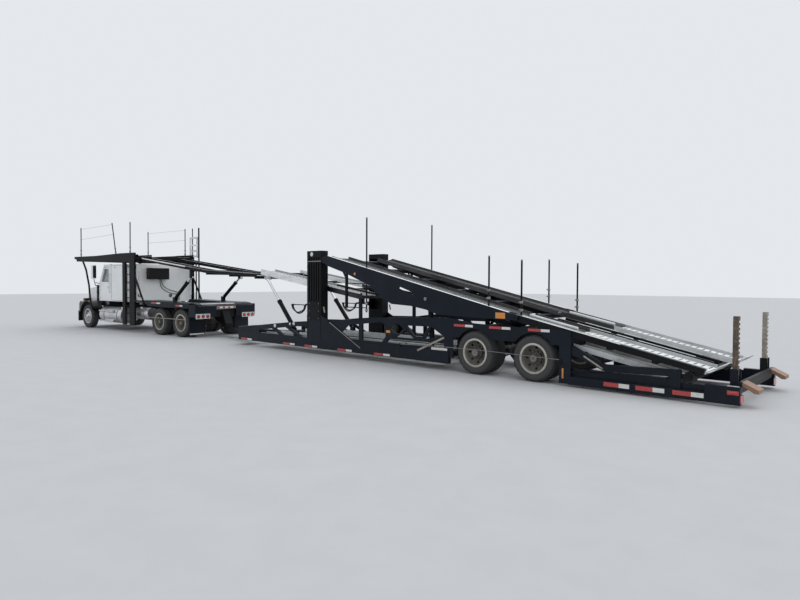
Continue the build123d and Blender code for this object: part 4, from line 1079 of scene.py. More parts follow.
@dataclass
class WheelNuts:
    """Nuts, studs and hub cap of a wheel, seen from outside."""

    nut_circle: float = 0.1425
    nuts: int = 10
    nut_radius: float = 0.0165
    stud_radius: float = 0.0095

    def ring_of_nuts(self, centre: Point, height: float, sign: int) -> list[Form]:
        """Nuts with the ends of their studs, evenly round the axle.

        Args:
            centre: the middle of the nuts' circle.
            height: the nuts' height.
            sign: the side that they face.

        Returns:
            The nuts and the studs.
        """
        shifts = round_axle(self.nuts, self.nut_circle, 0.5)
        nut = hex_nut(centre, self.nut_radius, height, "y", sign)
        rim, end, r = sign * (height + 0.010), sign * (height + 0.014), self.stud_radius
        stud = lathe([(0, 0), (r, 0), (r, rim), (r - 0.0025, end), (0, end)], centre, 10)
        return [nut.copies(shifts), stud.copies(shifts)]

    def oil_cap(self, centre: Point, sign: int, radius: float, depth: float) -> list[Form]:
        """A non-driven hub's oil cap: a domed cup with a rim, six bolts and a filler plug.

        Args:
            centre: the middle of its foot.
            sign: the side that it faces.
            radius: the cup's radius.
            depth: how far it stands out.

        Returns:
            Cup, plug and bolts.
        """
        r, d = radius, depth
        profile = [(0, -0.01), (r * 1.12, -0.01), (r * 1.12, 0.006), (r, 0.012), (r * 0.96, d * 0.7),
                   (r * 0.8, d), (r * 0.45, d), (r * 0.4, d * 0.86), (0, d * 0.86)]
        cup = lathe([(at, w * sign) for at, w in profile], centre, 28)
        plug = hex_nut((centre[0], centre[1] + sign * d * 0.84, centre[2]), r * 0.2, 0.010, "y", sign)
        return [cup, plug, hex_nut(centre, 0.006, 0.014, "y", sign).copies(round_axle(6, r * 1.04))]

    def drive_flange(self, centre: Point, sign: int, radius: float) -> list[Form]:
        """A driven hub's flange: a stepped disc with eight nuts and a raised middle.

        Args:
            centre: the middle of its foot.
            sign: the side that it faces.
            radius: the disc's radius.

        Returns:
            The disc and its nuts.
        """
        r = radius
        profile = [(0, -0.01), (r, -0.01), (r, 0.012), (r * 0.93, 0.018), (r * 0.55, 0.020),
                   (r * 0.42, 0.042), (0, 0.048)]
        disc = lathe([(at, w * sign) for at, w in profile], centre, 28)
        top = (centre[0], centre[1] + 0.018 * sign, centre[2])
        return [disc, hex_nut(top, 0.011, 0.016, "y", sign).copies(round_axle(8, r * 0.76))]

    def valve(self, centre: Point, sign: int) -> Form:
        """The valve stem: a thin pipe that leans out of the rim."""
        steps = ((0.19, 0.0, 0.05), (0.185, 0.02 * sign, 0.05), (0.17, 0.06 * sign, 0.045))
        return pipe([(centre[0] + dx, centre[1] + dy, centre[2] + dz) for dx, dy, dz in steps], 0.005, 8)


@dataclass
class RunningGear:
    """All wheels with their nuts, caps and finishes."""

    maker: Maker
    trailer_axles: tuple[tuple[str, float], ...] = (("a", 1.390), ("b", 0.0))
    drive_axles: tuple[tuple[str, float], ...] = (("c", 2.355), ("d", 1.005))
    front_x: float = 7.9
    front_y: float = 1.035
    trailer_tyre: tuple[float, float, float] = (0.460, 0.255, 0.286)
    tractor_tyre: tuple[float, float, float] = (0.492, 0.275, 0.290)
    trailer_y: Pair = (1.140, 0.848)
    drive_y: Pair = (1.110, 0.790)

    def twin(self, row: str, x: float, side: Side, site: Site) -> None:
        """One twin wheel.

        Args:
            row: the axle's letter.
            x: the axle's place in its working frame.
            side: the vehicle's side.
            site: the working frame.
        """
        s, trailer = side.value, site is Site.TRAILER
        shape = self.trailer_tyre if trailer else self.tractor_tyre
        z, widths = shape[0], self.trailer_y if trailer else self.drive_y
        name = f"{row}_{side.label}"
        centres = [(x, s * y, z) for y in widths]
        Tyres(self.maker, *shape).build(f"tyres_{name}", f"wheel_{name}", centres, site)
        nuts = WheelNuts()
        face = s * (widths[0] - 0.046)
        forms = [*nuts.ring_of_nuts((x, face, z), 0.028, s), nuts.valve((x, s * (widths[0] - 0.02), z), s)]
        end = s * (widths[0] + 0.102)
        forms += nuts.oil_cap((x, end - s * 0.018, z), s, 0.072, 0.030) if trailer \
            else nuts.drive_flange((x, end - s * 0.030, z), s, 0.086)
        self.maker.piece(f"hub_{name}", forms, f"wheel_{name}", STEEL, site)
        rim = Banded(f"rim_{name}", RIM_WORN, RIM_CREAM, self.maker.ground, site, x, z, shape[2] - 0.022)
        self.maker.dress(f"rims_{name}", rim)

    def steered(self, side: Side) -> None:
        """One front wheel with its polished rim.

        Args:
            side: the vehicle's side.
        """
        s, x, y, z = side.value, self.front_x, self.front_y, self.tractor_tyre[0]
        name = f"front_{side.label}"
        tyre = Tyres(self.maker, *self.tractor_tyre)
        tyre.build(f"tyre_{name}", f"wheel_{name}", [(x, s * y, z)], Site.TRACTOR)
        nuts = WheelNuts()
        forms = [*nuts.ring_of_nuts((x, s * (y + 0.072), z), 0.028, s), nuts.valve((x, s * (y + 0.06), z), s),
                 *nuts.oil_cap((x, s * (y + 0.140), z), s, 0.066, 0.028)]
        self.maker.piece(f"hub_{name}", forms, f"wheel_{name}", CHROME, Site.TRACTOR)
        self.maker.dress(f"rim_{name}", ALLOY)

    def build(self) -> None:
        """All wheels of both vehicles."""
        for side in Side:
            for row, x in self.trailer_axles:
                self.twin(row, x, side, Site.TRAILER)
            for row, x in self.drive_axles:
                self.twin(row, x, side, Site.TRACTOR)
            self.steered(side)


# Decks


@dataclass(frozen=True)
class TrackRun:
    """A straight run of wheel track: (x, z) of the underside's ends and the limits across."""

    name: str
    body: str
    site: Site
    start: Pair
    end: Pair
    y: Pair
    finish: Finish = ZINC
    pitch: float = 0.150
    rows: int = 5
    hole: Pair = (0.050, 0.027)


@dataclass
class TrackPlates:
    """Perforated plates that lie on the tracks' floors."""

    maker: Maker
    floor: float = 0.045
    lip: float = 0.014
    thick: float = 0.004
    lift: float = 0.0004
    runs: tuple[TrackRun, ...] = (
        # main_deck_grid and tail_deck_upper_grid wear the darkened zinc: worn steel with painted shade.
        TrackRun("main_deck_grid", "main_deck", Site.TRAILER, (0.44, 1.2253), (6.06, 2.5332), (0.56, 1.17),
                 ZINC_WORN_AND_SHADED),
        TrackRun("tail_deck_grid", "tail_deck", Site.TRAILER, (-3.10, 0.4637), (-0.85, 0.9486), (0.56, 1.17),
                 ZINC_BRIGHT, 0.118, 2, (0.016, 0.128)),
        TrackRun("tail_deck_upper_grid", "tail_deck", Site.TRAILER, (-0.85, 0.9486), (0.36, 1.2094),
                 (0.56, 1.17), ZINC_WORN_AND_SHADED),
        TrackRun("bridge_deck_grid", "bridge_deck", Site.TRAILER, (5.08, 1.56), (9.48, 2.235), (0.48, 1.01)),
        TrackRun("rack_grid", "tractor", Site.TRACTOR, (3.95, 2.875), (8.72, 2.875), (0.56, 1.12)),
        TrackRun("rear_deck_grid", "tractor_deck", Site.TRACTOR, (-0.35, 2.235), (3.80, 2.74), (0.62, 1.10)),
        TrackRun("rear_deck_end_grid", "tractor_deck", Site.TRACTOR, (-2.95, 2.09), (-0.35, 2.235),
                 (0.62, 1.10)),
    )

    def grid(self, run: TrackRun) -> Form:
        """One plate: cells with an oblong hole each, worked out for one cell and copied along and across.

        A cell's top joins eight points of its rectangle to eight points of the hole, whose wall goes down.

        Args:
            run: the track that carries it.

        Returns:
            The plate on the left side.
        """
        (x0, z0), (x1, z1) = run.start, run.end
        length = math.hypot(x1 - x0, z1 - z0)
        along = np.array([(x1 - x0) / length, 0.0, (z1 - z0) / length])
        normal = np.array([-along[2], 0.0, along[0]])
        y0, y1 = run.y[0] + self.lip, run.y[1] - self.lip
        count = int(length // run.pitch)
        cell, row = length / count, (y1 - y0) / run.rows
        corner = np.array([(-1, -1), (0, -1), (1, -1), (1, 0), (1, 1), (0, 1), (-1, 1), (-1, 0)], float)
        outer = corner * np.array([cell / 2, row / 2])
        angle = np.radians([225, 270, 315, 0, 45, 90, 135, 180])
        around = np.stack([np.cos(angle), np.sin(angle)], axis=1)
        inner = np.sign(around) * np.abs(around) ** 0.6 * np.array(run.hole)
        under, over = np.zeros(8), np.full(8, self.thick)
        rings = np.stack([np.c_[outer, under], np.c_[outer, over], np.c_[inner, over], np.c_[inner, under]])
        form = sheet(rings, wrap_u=True, wrap_v=True)
        points = form.points @ np.array([along, LEFTWARDS, normal])
        n, m = np.meshgrid(np.arange(count) + 0.5, np.arange(run.rows) + 0.5, indexing="ij")
        step = np.stack([n.ravel() * cell, m.ravel() * row], axis=1) @ np.array([along, LEFTWARDS])
        base = np.array([x0, y0, z0]) + normal * (self.floor + self.lift)
        return Form(points, form.faces).copies(step + base)

    def build(self) -> None:
        """All plates, both sides in one piece per deck."""
        for run in self.runs:
            self.maker.piece(run.name, both_sides([self.grid(run)]), run.body, run.finish, run.site, 20.0)


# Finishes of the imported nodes


@dataclass
class Finishes:
    """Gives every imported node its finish."""

    maker: Maker
    plain: dict[str, Finish] = field(default_factory=lambda: {
        "main_deck": FRAME_NAVY, "tail_deck": FRAME_BLACK, "trailer_axles": CAST, "end_ramps": RAMP_RUST,
        "main_barrels": FRAME_BLACK, "main_rods": CHROME, "bridge_barrels": FRAME_BLACK,
        "bridge_rods": CHROME, "tail_post_left": POST_RUST, "tail_post_right": POST_PALE,
        "tractor_frame": FRAME_BLACK, "tractor_axles": CAST, "knuckle_left": CAST, "knuckle_right": CAST,
        "cab_glass": GLASS, "door_glass_left": GLASS, "door_glass_right": GLASS, "grille": GUARD_BLACK,
        "front_bumper": GUARD_BLACK, "air_cleaners": GUARD_BLACK, "cab_interior": SEAT, "engine": CAST,
        "tractor_barrels": FRAME_BLACK, "tractor_rods": CHROME, "tractor_lamps": TRIM,
        "tyre_front_left": TYRE, "tyre_front_right": TYRE, "towers": FRAME_BLACK,
        # main_deck_tracks wear the darkened zinc: worn steel with painted shade inside the arms.
        "main_deck_tracks": ZINC_WORN_AND_SHADED, "tractor_deck": FRAME_BLACK, "headrack": FRAME_BLACK,
        "cab": CAB_WHITE, "sleeper": CAB_WHITE, "fuel_tanks": DULL_ALLOY, "tractor_tail": FRAME_NAVY,
    })

    def zoned(self, node: str, base: Finish, site: Site, *zones: Zone) -> None:
        """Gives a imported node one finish, with others in zones of a working frame."""
        self.maker.dress(node, Zoned(f"{node}_zoned", base, zones, self.maker.ground, site))

    def build(self) -> None:
        """Plain finishes first, then those with zones."""
        for node, finish in self.plain.items():
            self.maker.dress(node, finish)
        self.zoned("trailer_frame", FRAME_NAVY, Site.TRAILER, Zone(FRAME_BLACK, y=(0.0, 1.0)))
        # Tail deck tracks: inside the channels the zinc is darkened as painted shade, and near the main deck
        # darker still, worn steel with painted shade.
        self.zoned("tail_deck_tracks", ZINC_BRIGHT, Site.TRAILER, Zone(ZINC_SHADED, y=(0.574, 1.156)),
                   Zone(ZINC_WORN_AND_SHADED, x=(-0.85, 0.6), y=(0.4, 1.156)))
        self.zoned("trailer_lamps", STRIP_RED, Site.TRAILER, *[
            Zone(STRIP_WHITE, x=x) for x in ((-1.95, -1.726), (-2.54, -2.310), (-3.15, -2.920))])
        # Bridge deck: inside the track channels the zinc is darkened as painted shade.
        self.zoned("bridge_deck", ZINC_BRIGHT, Site.TRAILER, Zone(ZINC_SHADED, y=(0.494, 0.996)),
                   Zone(FRAME_BLACK, y=(0.0, 0.478)), Zone(FRAME_BLACK, x=(4.8, 6.60)))
        self.zoned("hood", CAB_WHITE, Site.TRACTOR, Zone(GUARD_BLACK, y=(0.792, 1.3)))
        for side in Side:
            self.zoned(f"door_{side.label}", CAB_WHITE, Site.TRACTOR,
                       Zone(TRIM, y=(1.215, 1.6), z=(1.5, 2.03)))
            for row in "abcd":
                self.maker.dress(f"tyres_{row}_{side.label}", TYRE)


# Trailer


@dataclass
class Trim:
    """Base of what dresses one region: it names a body and a working frame, and makes pieces there."""

    maker: Maker
    body: str = "trailer"
    site: Site = Site.TRAILER

    def add(self, name: str, forms: Iterable[Form], finish: Finish, body: str | None = None,
            site: Site | None = None) -> bpy.types.Object:
        """One piece, on the region's own body and in its own frame where no others are named."""
        return self.maker.piece(name, forms, body or self.body, finish, site or self.site)

    def pair(self, name: str, forms: Iterable[Form], finish: Finish, body: str | None = None,
             site: Site | None = None) -> bpy.types.Object:
        """One piece as add makes it, with its forms on both sides of the vehicle."""
        return self.add(name, both_sides(forms), finish, body, site)

    def on_each_side(self, name: str, forms: Sequence[Form], finish: Finish, body: str) -> None:
        """Two pieces, each on its own side's body.

        Args:
            name: the pieces' name without the side.
            forms: the left one's surfaces.
            finish: their finish.
            body: the bodies' name without the side.
        """
        for side in Side:
            made = forms if side is Side.LEFT else [form.mirrored() for form in forms]
            self.add(f"{name}_{side.label}", made, finish, f"{body}_{side.label}")


def plate_at(x: Pair, y: float, z: Pair, thick: float = 0.003) -> Form:
    """A thin plate that stands out from an upright side face, at negative y on the right side."""
    out = y + math.copysign(thick, y)
    return block(x, (min(y, out), max(y, out)), z, thick * 0.3)


def chain(points: Sequence[Point], radius: float, count: int = 12) -> list[Form]:
    """Straight round bars from point to point, with a ball at each bend.

    Args:
        points: the bars' ends.
        radius: their radius.
        count: steps round.

    Returns:
        Bars and balls.
    """
    bars = [rod_form(a, b, radius, count) for a, b in zip(points, points[1:])]
    arc = np.linspace(0, np.pi, 7)
    ball = np.stack([np.sin(arc), -np.cos(arc)], axis=1) * radius
    return bars + [lathe(ball, p, count, "z") for p in points[1:-1]]


def pin_cap(x: float, y: float, z: float, radius: float, sign: int = 1, depth: float = 0.012) -> list[Form]:
    """A pin's end: a keeper disc with a bevel, a raised middle and two bolts.

    Args:
        x: the pin's place.
        y: the face that it closes.
        z: the pin's height.
        radius: the disc's radius.
        sign: the side that it faces.
        depth: how far the disc stands out.

    Returns:
        The disc and its bolts.
    """
    r, d, foot = radius, depth * sign, -0.004 * sign
    disc = lathe([(0, foot), (r, foot), (r, d * 0.7), (r * 0.93, d), (r * 0.5, d), (r * 0.42, d * 1.6),
                  (0, d * 1.6)], (x, y, z), 24)
    return [disc, *[hex_nut((x + dx * r * 0.72, y + d, z), r * 0.13, 0.008, "y", sign) for dx in (-1, 1)]]


def channel_track(start: Pair, end: Pair, y: Pair, lip: float = 0.060, floor: float = 0.045,
                  wall: float = 0.012) -> Form:
    """A wheel track: a floor with an upright lip on both edges, carried along its run.

    Args:
        start, end: x and z of the underside's ends.
        y: its limits across.
        lip, wall: the lips' height over the floor, and their thickness.
        floor: the floor's depth.

    Returns:
        The closed track.
    """
    half, middle = (y[1] - y[0]) / 2, sum(y) / 2
    top, inner = floor + lip, half - wall
    outline = np.array([(-half, 0), (half, 0), (half, top), (inner, top), (inner, floor), (-inner, floor),
                        (-inner, top), (-half, top)])
    return carried(outline, np.array([(start[0], middle, start[1]), (end[0], middle, end[1])]))


def sheet_bar(line: Sequence[Pair], y: Pair, thick: float) -> Form:
    """A bent sheet across the vehicle: a flat rectangle carried along a smooth line of (x, z)."""
    path = smooth_path([(x, sum(y) / 2, z) for x, z in line], 5)
    return carried(rectangle(y[1] - y[0], thick, thick * 0.2), path)


@dataclass
class LowTracks(Trim):
    """The trailer's low wheel tracks and their beams, and the tail's side panels, rollers and struts."""

    low: tuple[Pair, Pair] = ((2.45, 0.355), (9.20, 0.355))
    low_y: Pair = (0.48, 1.00)
    tail: tuple[Pair, Pair] = ((-2.68, 0.315), (-0.75, 0.698))
    tail_y: Pair = (0.56, 1.09)
    panel_y: Pair = (1.196, 1.206)
    roller: Point = (-2.85, 1.093, 0.385)

    def tail_z(self, x: float) -> float:
        """The height of the tail tracks' underside: a straight line between their ends."""
        (x0, z0), (x1, z1) = self.tail
        return z0 + (x - x0) * (z1 - z0) / (x1 - x0)

    def tracks(self) -> None:
        """The tracks, and the beams across under them."""
        self.pair("low_tracks", [channel_track(*self.low, self.low_y)], ZINC)
        self.pair("tail_low_tracks", [channel_track(*self.tail, self.tail_y)], ZINC)
        beams = [block((x - 0.04, x + 0.04), (-1.22, 1.22), (0.295, 0.354))
                 for x in np.arange(2.7, 9.3, 0.92)]
        for x in (-2.5, -1.95, -1.4):
            z = self.tail_z(x)
            beams.append(block((x - 0.03, x + 0.03), (-1.18, 1.18), (z - 0.07, z - 0.008)))
        self.add("low_track_beams", beams, FRAME_BLACK)

    def build(self) -> None:
        """Tracks and beams, side panels, rollers on their pins, and the struts before them."""
        self.tracks()
        panels = [block((-2.66, -0.72), self.panel_y, (0.17, 0.345), 0.002),
                  block((-3.14, -2.68), self.panel_y, (0.17, 0.300), 0.002)]
        self.pair("tail_side_panels", panels, FRAME_NAVY)
        x, _, z = self.roller
        flange = [(0.050, 0.040), (0.056, 0.055), (0.088, 0.055), (0.098, 0.045)]
        profile = [(0, -0.040), *[(r, -w) for r, w in flange], *flange[::-1], (0, 0.040)]
        self.pair("tail_rollers", [lathe(profile, self.roller, 32)], HOSE)
        self.pair("tail_roller_pins", [rod_form((x, 1.03, z), (x, 1.198, z), 0.018)], STEEL)
        struts = [block((-2.90, -2.70), (1.178, 1.208), (0.36, 0.44)),
                  rod_form((-0.78, 1.240, 0.27), (-1.40, 1.240, 0.345), 0.016),
                  rod_form((-1.01, 1.078, 0.655), (-1.40, 1.208, 0.395), 0.020)]
        self.pair("tail_struts", struts, FRAME_BLACK)
        self.pair("tail_strut_pale", [rod_form((-1.05, 1.262, 0.60), (-1.41, 1.262, 0.40), 0.016)], POST_PALE)


@dataclass(frozen=True)
class Strip:
    """A reflector strip on a side face: red in front of its split, white behind."""

    front: float
    rear: float
    z: float
    y: float = 1.288
    split: float = 0.40
    height: float = 0.052


@dataclass
class Reflectors(Trim):
    """Reflector strips and small side lamps of the trailer."""

    strips: tuple[Strip, ...] = (
        Strip(10.13, 9.56, 0.205), Strip(8.00, 7.47, 0.205), Strip(7.03, 6.50, 0.205),
        Strip(5.68, 5.14, 0.205), Strip(4.35, 3.82, 0.205), Strip(1.93, 1.43, 1.020, 1.268),
        Strip(1.02, 0.51, 1.020, 1.268), Strip(0.11, -0.36, 1.020, 1.268),
        Strip(2.56, 2.11, 0.470, 1.268, 1.0))
    thick: float = 0.0025
    gap: float = 0.002

    @staticmethod
    def lamp(x: float, y: float, z: float, wide: float, tall: float) -> list[Form]:
        """A side lamp: a base on the side face and a lens of two half sizes."""
        foot = plate_at((x - wide * 1.2, x + wide * 1.2), y, (z - tall * 1.25, z + tall * 1.25), 0.006)
        return [foot, lens_dome((x, y + 0.006, z), (wide, tall), 0.014, LEFTWARDS)]

    def build(self) -> None:
        """All strips in two pieces, then the lamps."""
        red, white = [], []
        for s in self.strips:
            middle = s.rear + (s.front - s.rear) * s.split
            z = (s.z - s.height / 2, s.z + s.height / 2)
            if s.split < 1.0:
                red.append(plate_at((middle + self.gap, s.front), s.y, z, self.thick))
            white.append(plate_at((s.rear, middle), s.y, z, self.thick))
        self.pair("side_strips_red", red, STRIP_RED)
        self.pair("side_strips_white", white, STRIP_WHITE)
        self.pair("side_lamps_amber", self.lamp(3.89, 1.268, 0.765, 0.055, 0.024), AMBER_LENS)
        self.pair("arm_reflectors", [plate_at((0.62, 0.85), 1.295, (1.215, 1.335))], AMBER_LENS, "main_deck")
        self.pair("side_lamps_red", self.lamp(-3.53, 1.2915, 0.235, 0.07, 0.026), STRIP_RED)
        self.pair("side_lamps_upright", self.lamp(-0.64, 1.268, 0.24, 0.016, 0.075), AMBER_LENS)


@dataclass
class TrailerEdges(Trim):
    """Bright edges on the nose and gusset, painted highlights, with braces, cable and round plates on the
    trailer's sides.
    """

    nose: tuple[Point, Point] = ((10.30, 1.234, 0.5595), (9.41, 1.234, 0.6445))
    cable: tuple[Point, ...] = ((3.49, 1.291, 0.50), (2.10, 1.291, 0.53), (1.11, 1.291, 0.53),
                                (-0.58, 1.272, 0.49))
    brace: tuple[Point, Point] = ((2.96, 1.280, 0.39), (2.19, 1.280, 0.73))
    link: tuple[Point, Point] = ((6.25, 1.270, 1.29), (6.21, 1.270, 1.14))
    gusset: tuple[Point, Point] = ((5.99, 1.293, 0.89), (4.83, 1.293, 0.30))
    seam: tuple[Point, ...] = ((7.05, 1.2885, 0.435), (6.41, 1.2885, 0.415), (5.64, 1.2885, 0.375))
    plate_y: float = 1.268
    plates: tuple[tuple[float, float, float], ...] = ((8.41, 0.68, 0.050), (7.53, 0.780, 0.044),
                                                      (7.70, 0.765, 0.036))

    def build(self) -> None:
        """Everything that rides on the trailer's frame; a round plate is given by x, z and radius."""
        # painted highlight along the nose's top edge
        self.pair("nose_edges", [beam(*self.nose, 0.062, 0.008, 0.002)], POST_PALE)
        self.pair("side_cables", chain(self.cable, 0.0065, 10), STEEL)
        ends = [block((3.47, 3.52), (1.262, 1.294), (0.438, 0.515)),
                block((-0.62, -0.57), (1.255, 1.285), (0.40, 0.51))]
        self.pair("side_cable_brackets", ends, FRAME_BLACK)
        braces = [beam(*self.brace, 0.020, 0.045, 0.003), beam(*self.link, 0.02, 0.04, 0.003)]
        self.pair("pale_braces", braces, POST_PALE)
        # painted highlight along the gusset's edge, with the seam's thin bar
        edges = [beam(*self.gusset, 0.012, 0.022, 0.002), *chain(self.seam, 0.004, 8)]
        self.pair("gusset_edges", edges, STEEL)
        plates = [form for x, z, radius in self.plates for form in pin_cap(x, self.plate_y, z, radius)]
        self.pair("round_plates", plates, PIN_WHITE)


@dataclass
class TowerFittings(Trim):
    """Pin caps, bands, seams, bolts and rungs of the towers."""

    x: Pair = (6.33, 6.91)
    y: Pair = (1.055, 1.295)
    neck_z: float = 2.50
    band: float = 0.006
    sunk: float = 0.0005
    rung_y: Pair = (1.10, 1.25)

    def rung(self, z: float) -> list[Form]:
        """A rung before the tower: a round bar on two short legs.

        Args:
            z: its height.

        Returns:
            The bar and its legs.
        """
        foot, bar = self.x[1] - 0.002, self.x[1] + 0.062
        near, far = self.rung_y
        legs = [rod_form((foot, y, z), (bar + 0.004, y, z), 0.009, 10) for y in self.rung_y]
        return [rod_form((bar, near, z), (bar, far, z), 0.009, 10), *legs]

    def build(self) -> None:
        """Pin caps, the neck's band, the side's seams with their doubler, bolts and rungs."""
        self.pair("tower_pin_caps", pin_cap(6.71, self.y[1], 2.69, 0.055), PIN_WHITE)
        (x0, x1), (y0, y1), t, sunk = self.x, self.y, self.band, self.sunk
        z, y = (self.neck_z - 0.012, self.neck_z + 0.012), (y0 + 0.01, y1 - 0.01)
        band = [plate_at((x0 + 0.01, x1 - 0.01), y1 - sunk, z, t), block((x1 - sunk, x1 + t), y, z, 0.001),
                block((x0 - t, x0 + sunk), y, z, 0.001)]
        self.pair("tower_bands", band, STEEL)
        seams = [plate_at((x, x + 0.012), y1, (0.46, 2.46), 0.0035) for x in (x0 + 0.018, x1 - 0.030)]
        doubler = plate_at((x0 + 0.06, x1 - 0.06), y1, (0.92, 1.42), 0.004)
        self.pair("tower_seams", [*seams, doubler], FRAME_BLACK)
        bolts = [hex_nut((x, y1 + 0.004, at), 0.011, 0.009, "y", 1) for x in (x0 + 0.10, x1 - 0.10)
                 for at in (0.97, 1.17, 1.37)]
        rungs = [form for at in np.arange(1.15, 2.4, 0.30) for form in self.rung(at)]
        self.pair("tower_bolts", bolts + rungs, STEEL)


@dataclass
class DeckEdges(Trim):
    """Painted highlights, bright strips along the edges of the decks' arms and rails, and the main deck's
    hangers, lamps and pins.
    """

    body: str = "main_deck"
    flange: tuple[Point, Point] = ((6.08, 1.2475, 2.6324), (0.56, 1.2475, 1.3474))
    tail_rail: tuple[Point, Point] = ((0.32, 1.216, 1.2932), (-3.06, 1.216, 0.5653))
    rear_runs: tuple[tuple[Pair, Pair], ...] = (((-2.95, 2.09), (-0.35, 2.235)),
                                                ((-0.35, 2.235), (3.78, 2.7376)))
    rear_y: Pair = (0.628, 1.091)
    bridge_run: tuple[Pair, Pair] = ((5.12, 1.5661), (6.60, 1.7932))
    bridge_y: Pair = (0.488, 1.001)
    side_lift: float = 0.090

    @staticmethod
    def lip(run: tuple[Pair, Pair], y: float, height: float = 0.1065) -> Form:
        """A painted highlight: a bright cap along a track's lip, at a height over the underside that (x, z)
        pairs give.
        """
        (x0, z0), (x1, z1) = run
        return beam((x0, y, z0 + height), (x1, y, z1 + height), 0.016, 0.005, 0.001)

    def arms(self) -> None:
        """Painted highlights along the main deck's flanges and lips, hangers with their rungs, lamps and
        cylinder pins.
        """
        (x0, y, z0), (x1, _, z1) = self.flange
        # painted highlight: bright strips on the arm's top flange and inner lip
        top = beam((x0, y, z0 + 0.002), (x1, y, z1 + 0.002), 0.088, 0.006, 0.0015)
        lift, inset = 0.013, 1.163
        lip = beam((x0 - 0.05, inset, z0 - 0.0116 + lift), (x1, inset, z1 + lift), 0.012, 0.004, 0.001)
        self.pair("main_arm_edges", [top, lip], ZINC_BRIGHT)
        hangers = [block((5.34, 5.40), (1.225, 1.285), (1.29, 2.26)),
                   beam((5.37, 1.255, 2.02), (5.57, 1.255, 2.32), 0.03, 0.04),
                   *[rod_form((5.37, 1.255, z), (4.650, 1.262, z), 0.011, 12) for z in (1.31, 1.91)]]
        self.pair("deck_hangers", hangers, FRAME_BLACK)
        lamp = lens_dome((5.03, 1.295, 2.15), (0.036, 0.036), 0.016, LEFTWARDS, 24)
        self.pair("arm_lamps", [lamp], AMBER_LENS)
        self.pair("main_cylinder_caps", pin_cap(2.72, 1.295, 1.57, 0.038), STEEL)

    def build(self) -> None:
        """The arms, the painted highlight on the tail deck's rails, then pale strips on the lips and sides of
        the rear and bridge decks, painted highlights.
        """
        self.arms()
        # painted highlight along the tail deck's rail top
        self.pair("tail_rail_edges", [beam(*self.tail_rail, 0.056, 0.006, 0.0015)], ZINC_BRIGHT, "tail_deck")
        # painted highlights: bright caps on the track lips and a pale strip along the deck's side
        lips = [self.lip(run, y) for run in self.rear_runs for y in self.rear_y]
        ends = [(x, 1.1015, 2.235 + (x + 0.35) * 0.505 / 4.15 + self.side_lift) for x in (0.90, 3.72)]
        lips.append(beam(*ends, 0.004, 0.034, 0.001))
        self.pair("rear_deck_lips", lips, ZINC_BRIGHT, "tractor_deck", Site.TRACTOR)
        lips = [self.lip(self.bridge_run, y) for y in self.bridge_y]
        ends = [(x, 1.0115, z + self.side_lift) for x, z in self.bridge_run]
        lips.append(beam(*ends, 0.004, 0.032, 0.001))
        self.pair("bridge_lips", lips, ZINC_BRIGHT, "bridge_deck")


@dataclass
class TailDeckTrim(Trim):
    """The tail deck's turned-up flaps, the tube under each track, and the middle rails with bright lines along
    them, painted highlights.
    """

    body: str = "tail_deck"
    edge: tuple[Pair, Pair] = ((-3.08, 0.560), (0.400, 1.310))
    track_y: Pair = (0.562, 1.168)
    rail_y: float = 0.18
    line_runs: tuple[Pair, ...] = ((-2.66, -1.64), (-1.54, -1.22), (-1.10, -0.40))

    def line(self, x: float) -> float:
        """The height of the tail deck's upper edge: a straight line between its ends."""
        (x0, z0), (x1, z1) = self.edge
        return z0 + (x - x0) * (z1 - z0) / (x1 - x0)

    def build(self) -> None:
        """Flaps, tubes, rails and the bright lines on them, painted highlights."""
        z = self.line(-3.08) - 0.062
        bend = [(-3.065, z), (-3.12, z - 0.006), (-3.20, z + 0.028), (-3.305, z + 0.118)]
        self.pair("tail_flaps", [sheet_bar(bend, self.track_y, 0.012)], ZINC_BRIGHT)
        ends = [(x, sum(self.track_y) / 2, self.line(x) - 0.006) for x in (-0.74, 0.30)]
        self.pair("tail_tubes", [rod_form(*ends, 0.036, 20)], ZINC)
        ends = [(x, self.rail_y, self.line(x) - 0.07) for x in (-2.95, 0.04)]
        self.pair("tail_middle_rails", [beam(*ends, 0.075, 0.09)], FRAME_BLACK)
        # painted highlight: bright rods along the middle rails' top edges
        lines = [rod_form(*[(x, self.rail_y, self.line(x) - 0.019) for x in run], 0.009, 10)
                 for run in self.line_runs]
        self.pair("tail_rail_lines", lines, ZINC_BRIGHT)


@dataclass(frozen=True)
class Pole:
    """A guard pole: foot and top as (x, z), its y, and the height of its lower collar."""

    foot: Pair
    top: Pair
    y: float
    collar_z: float = 3.06


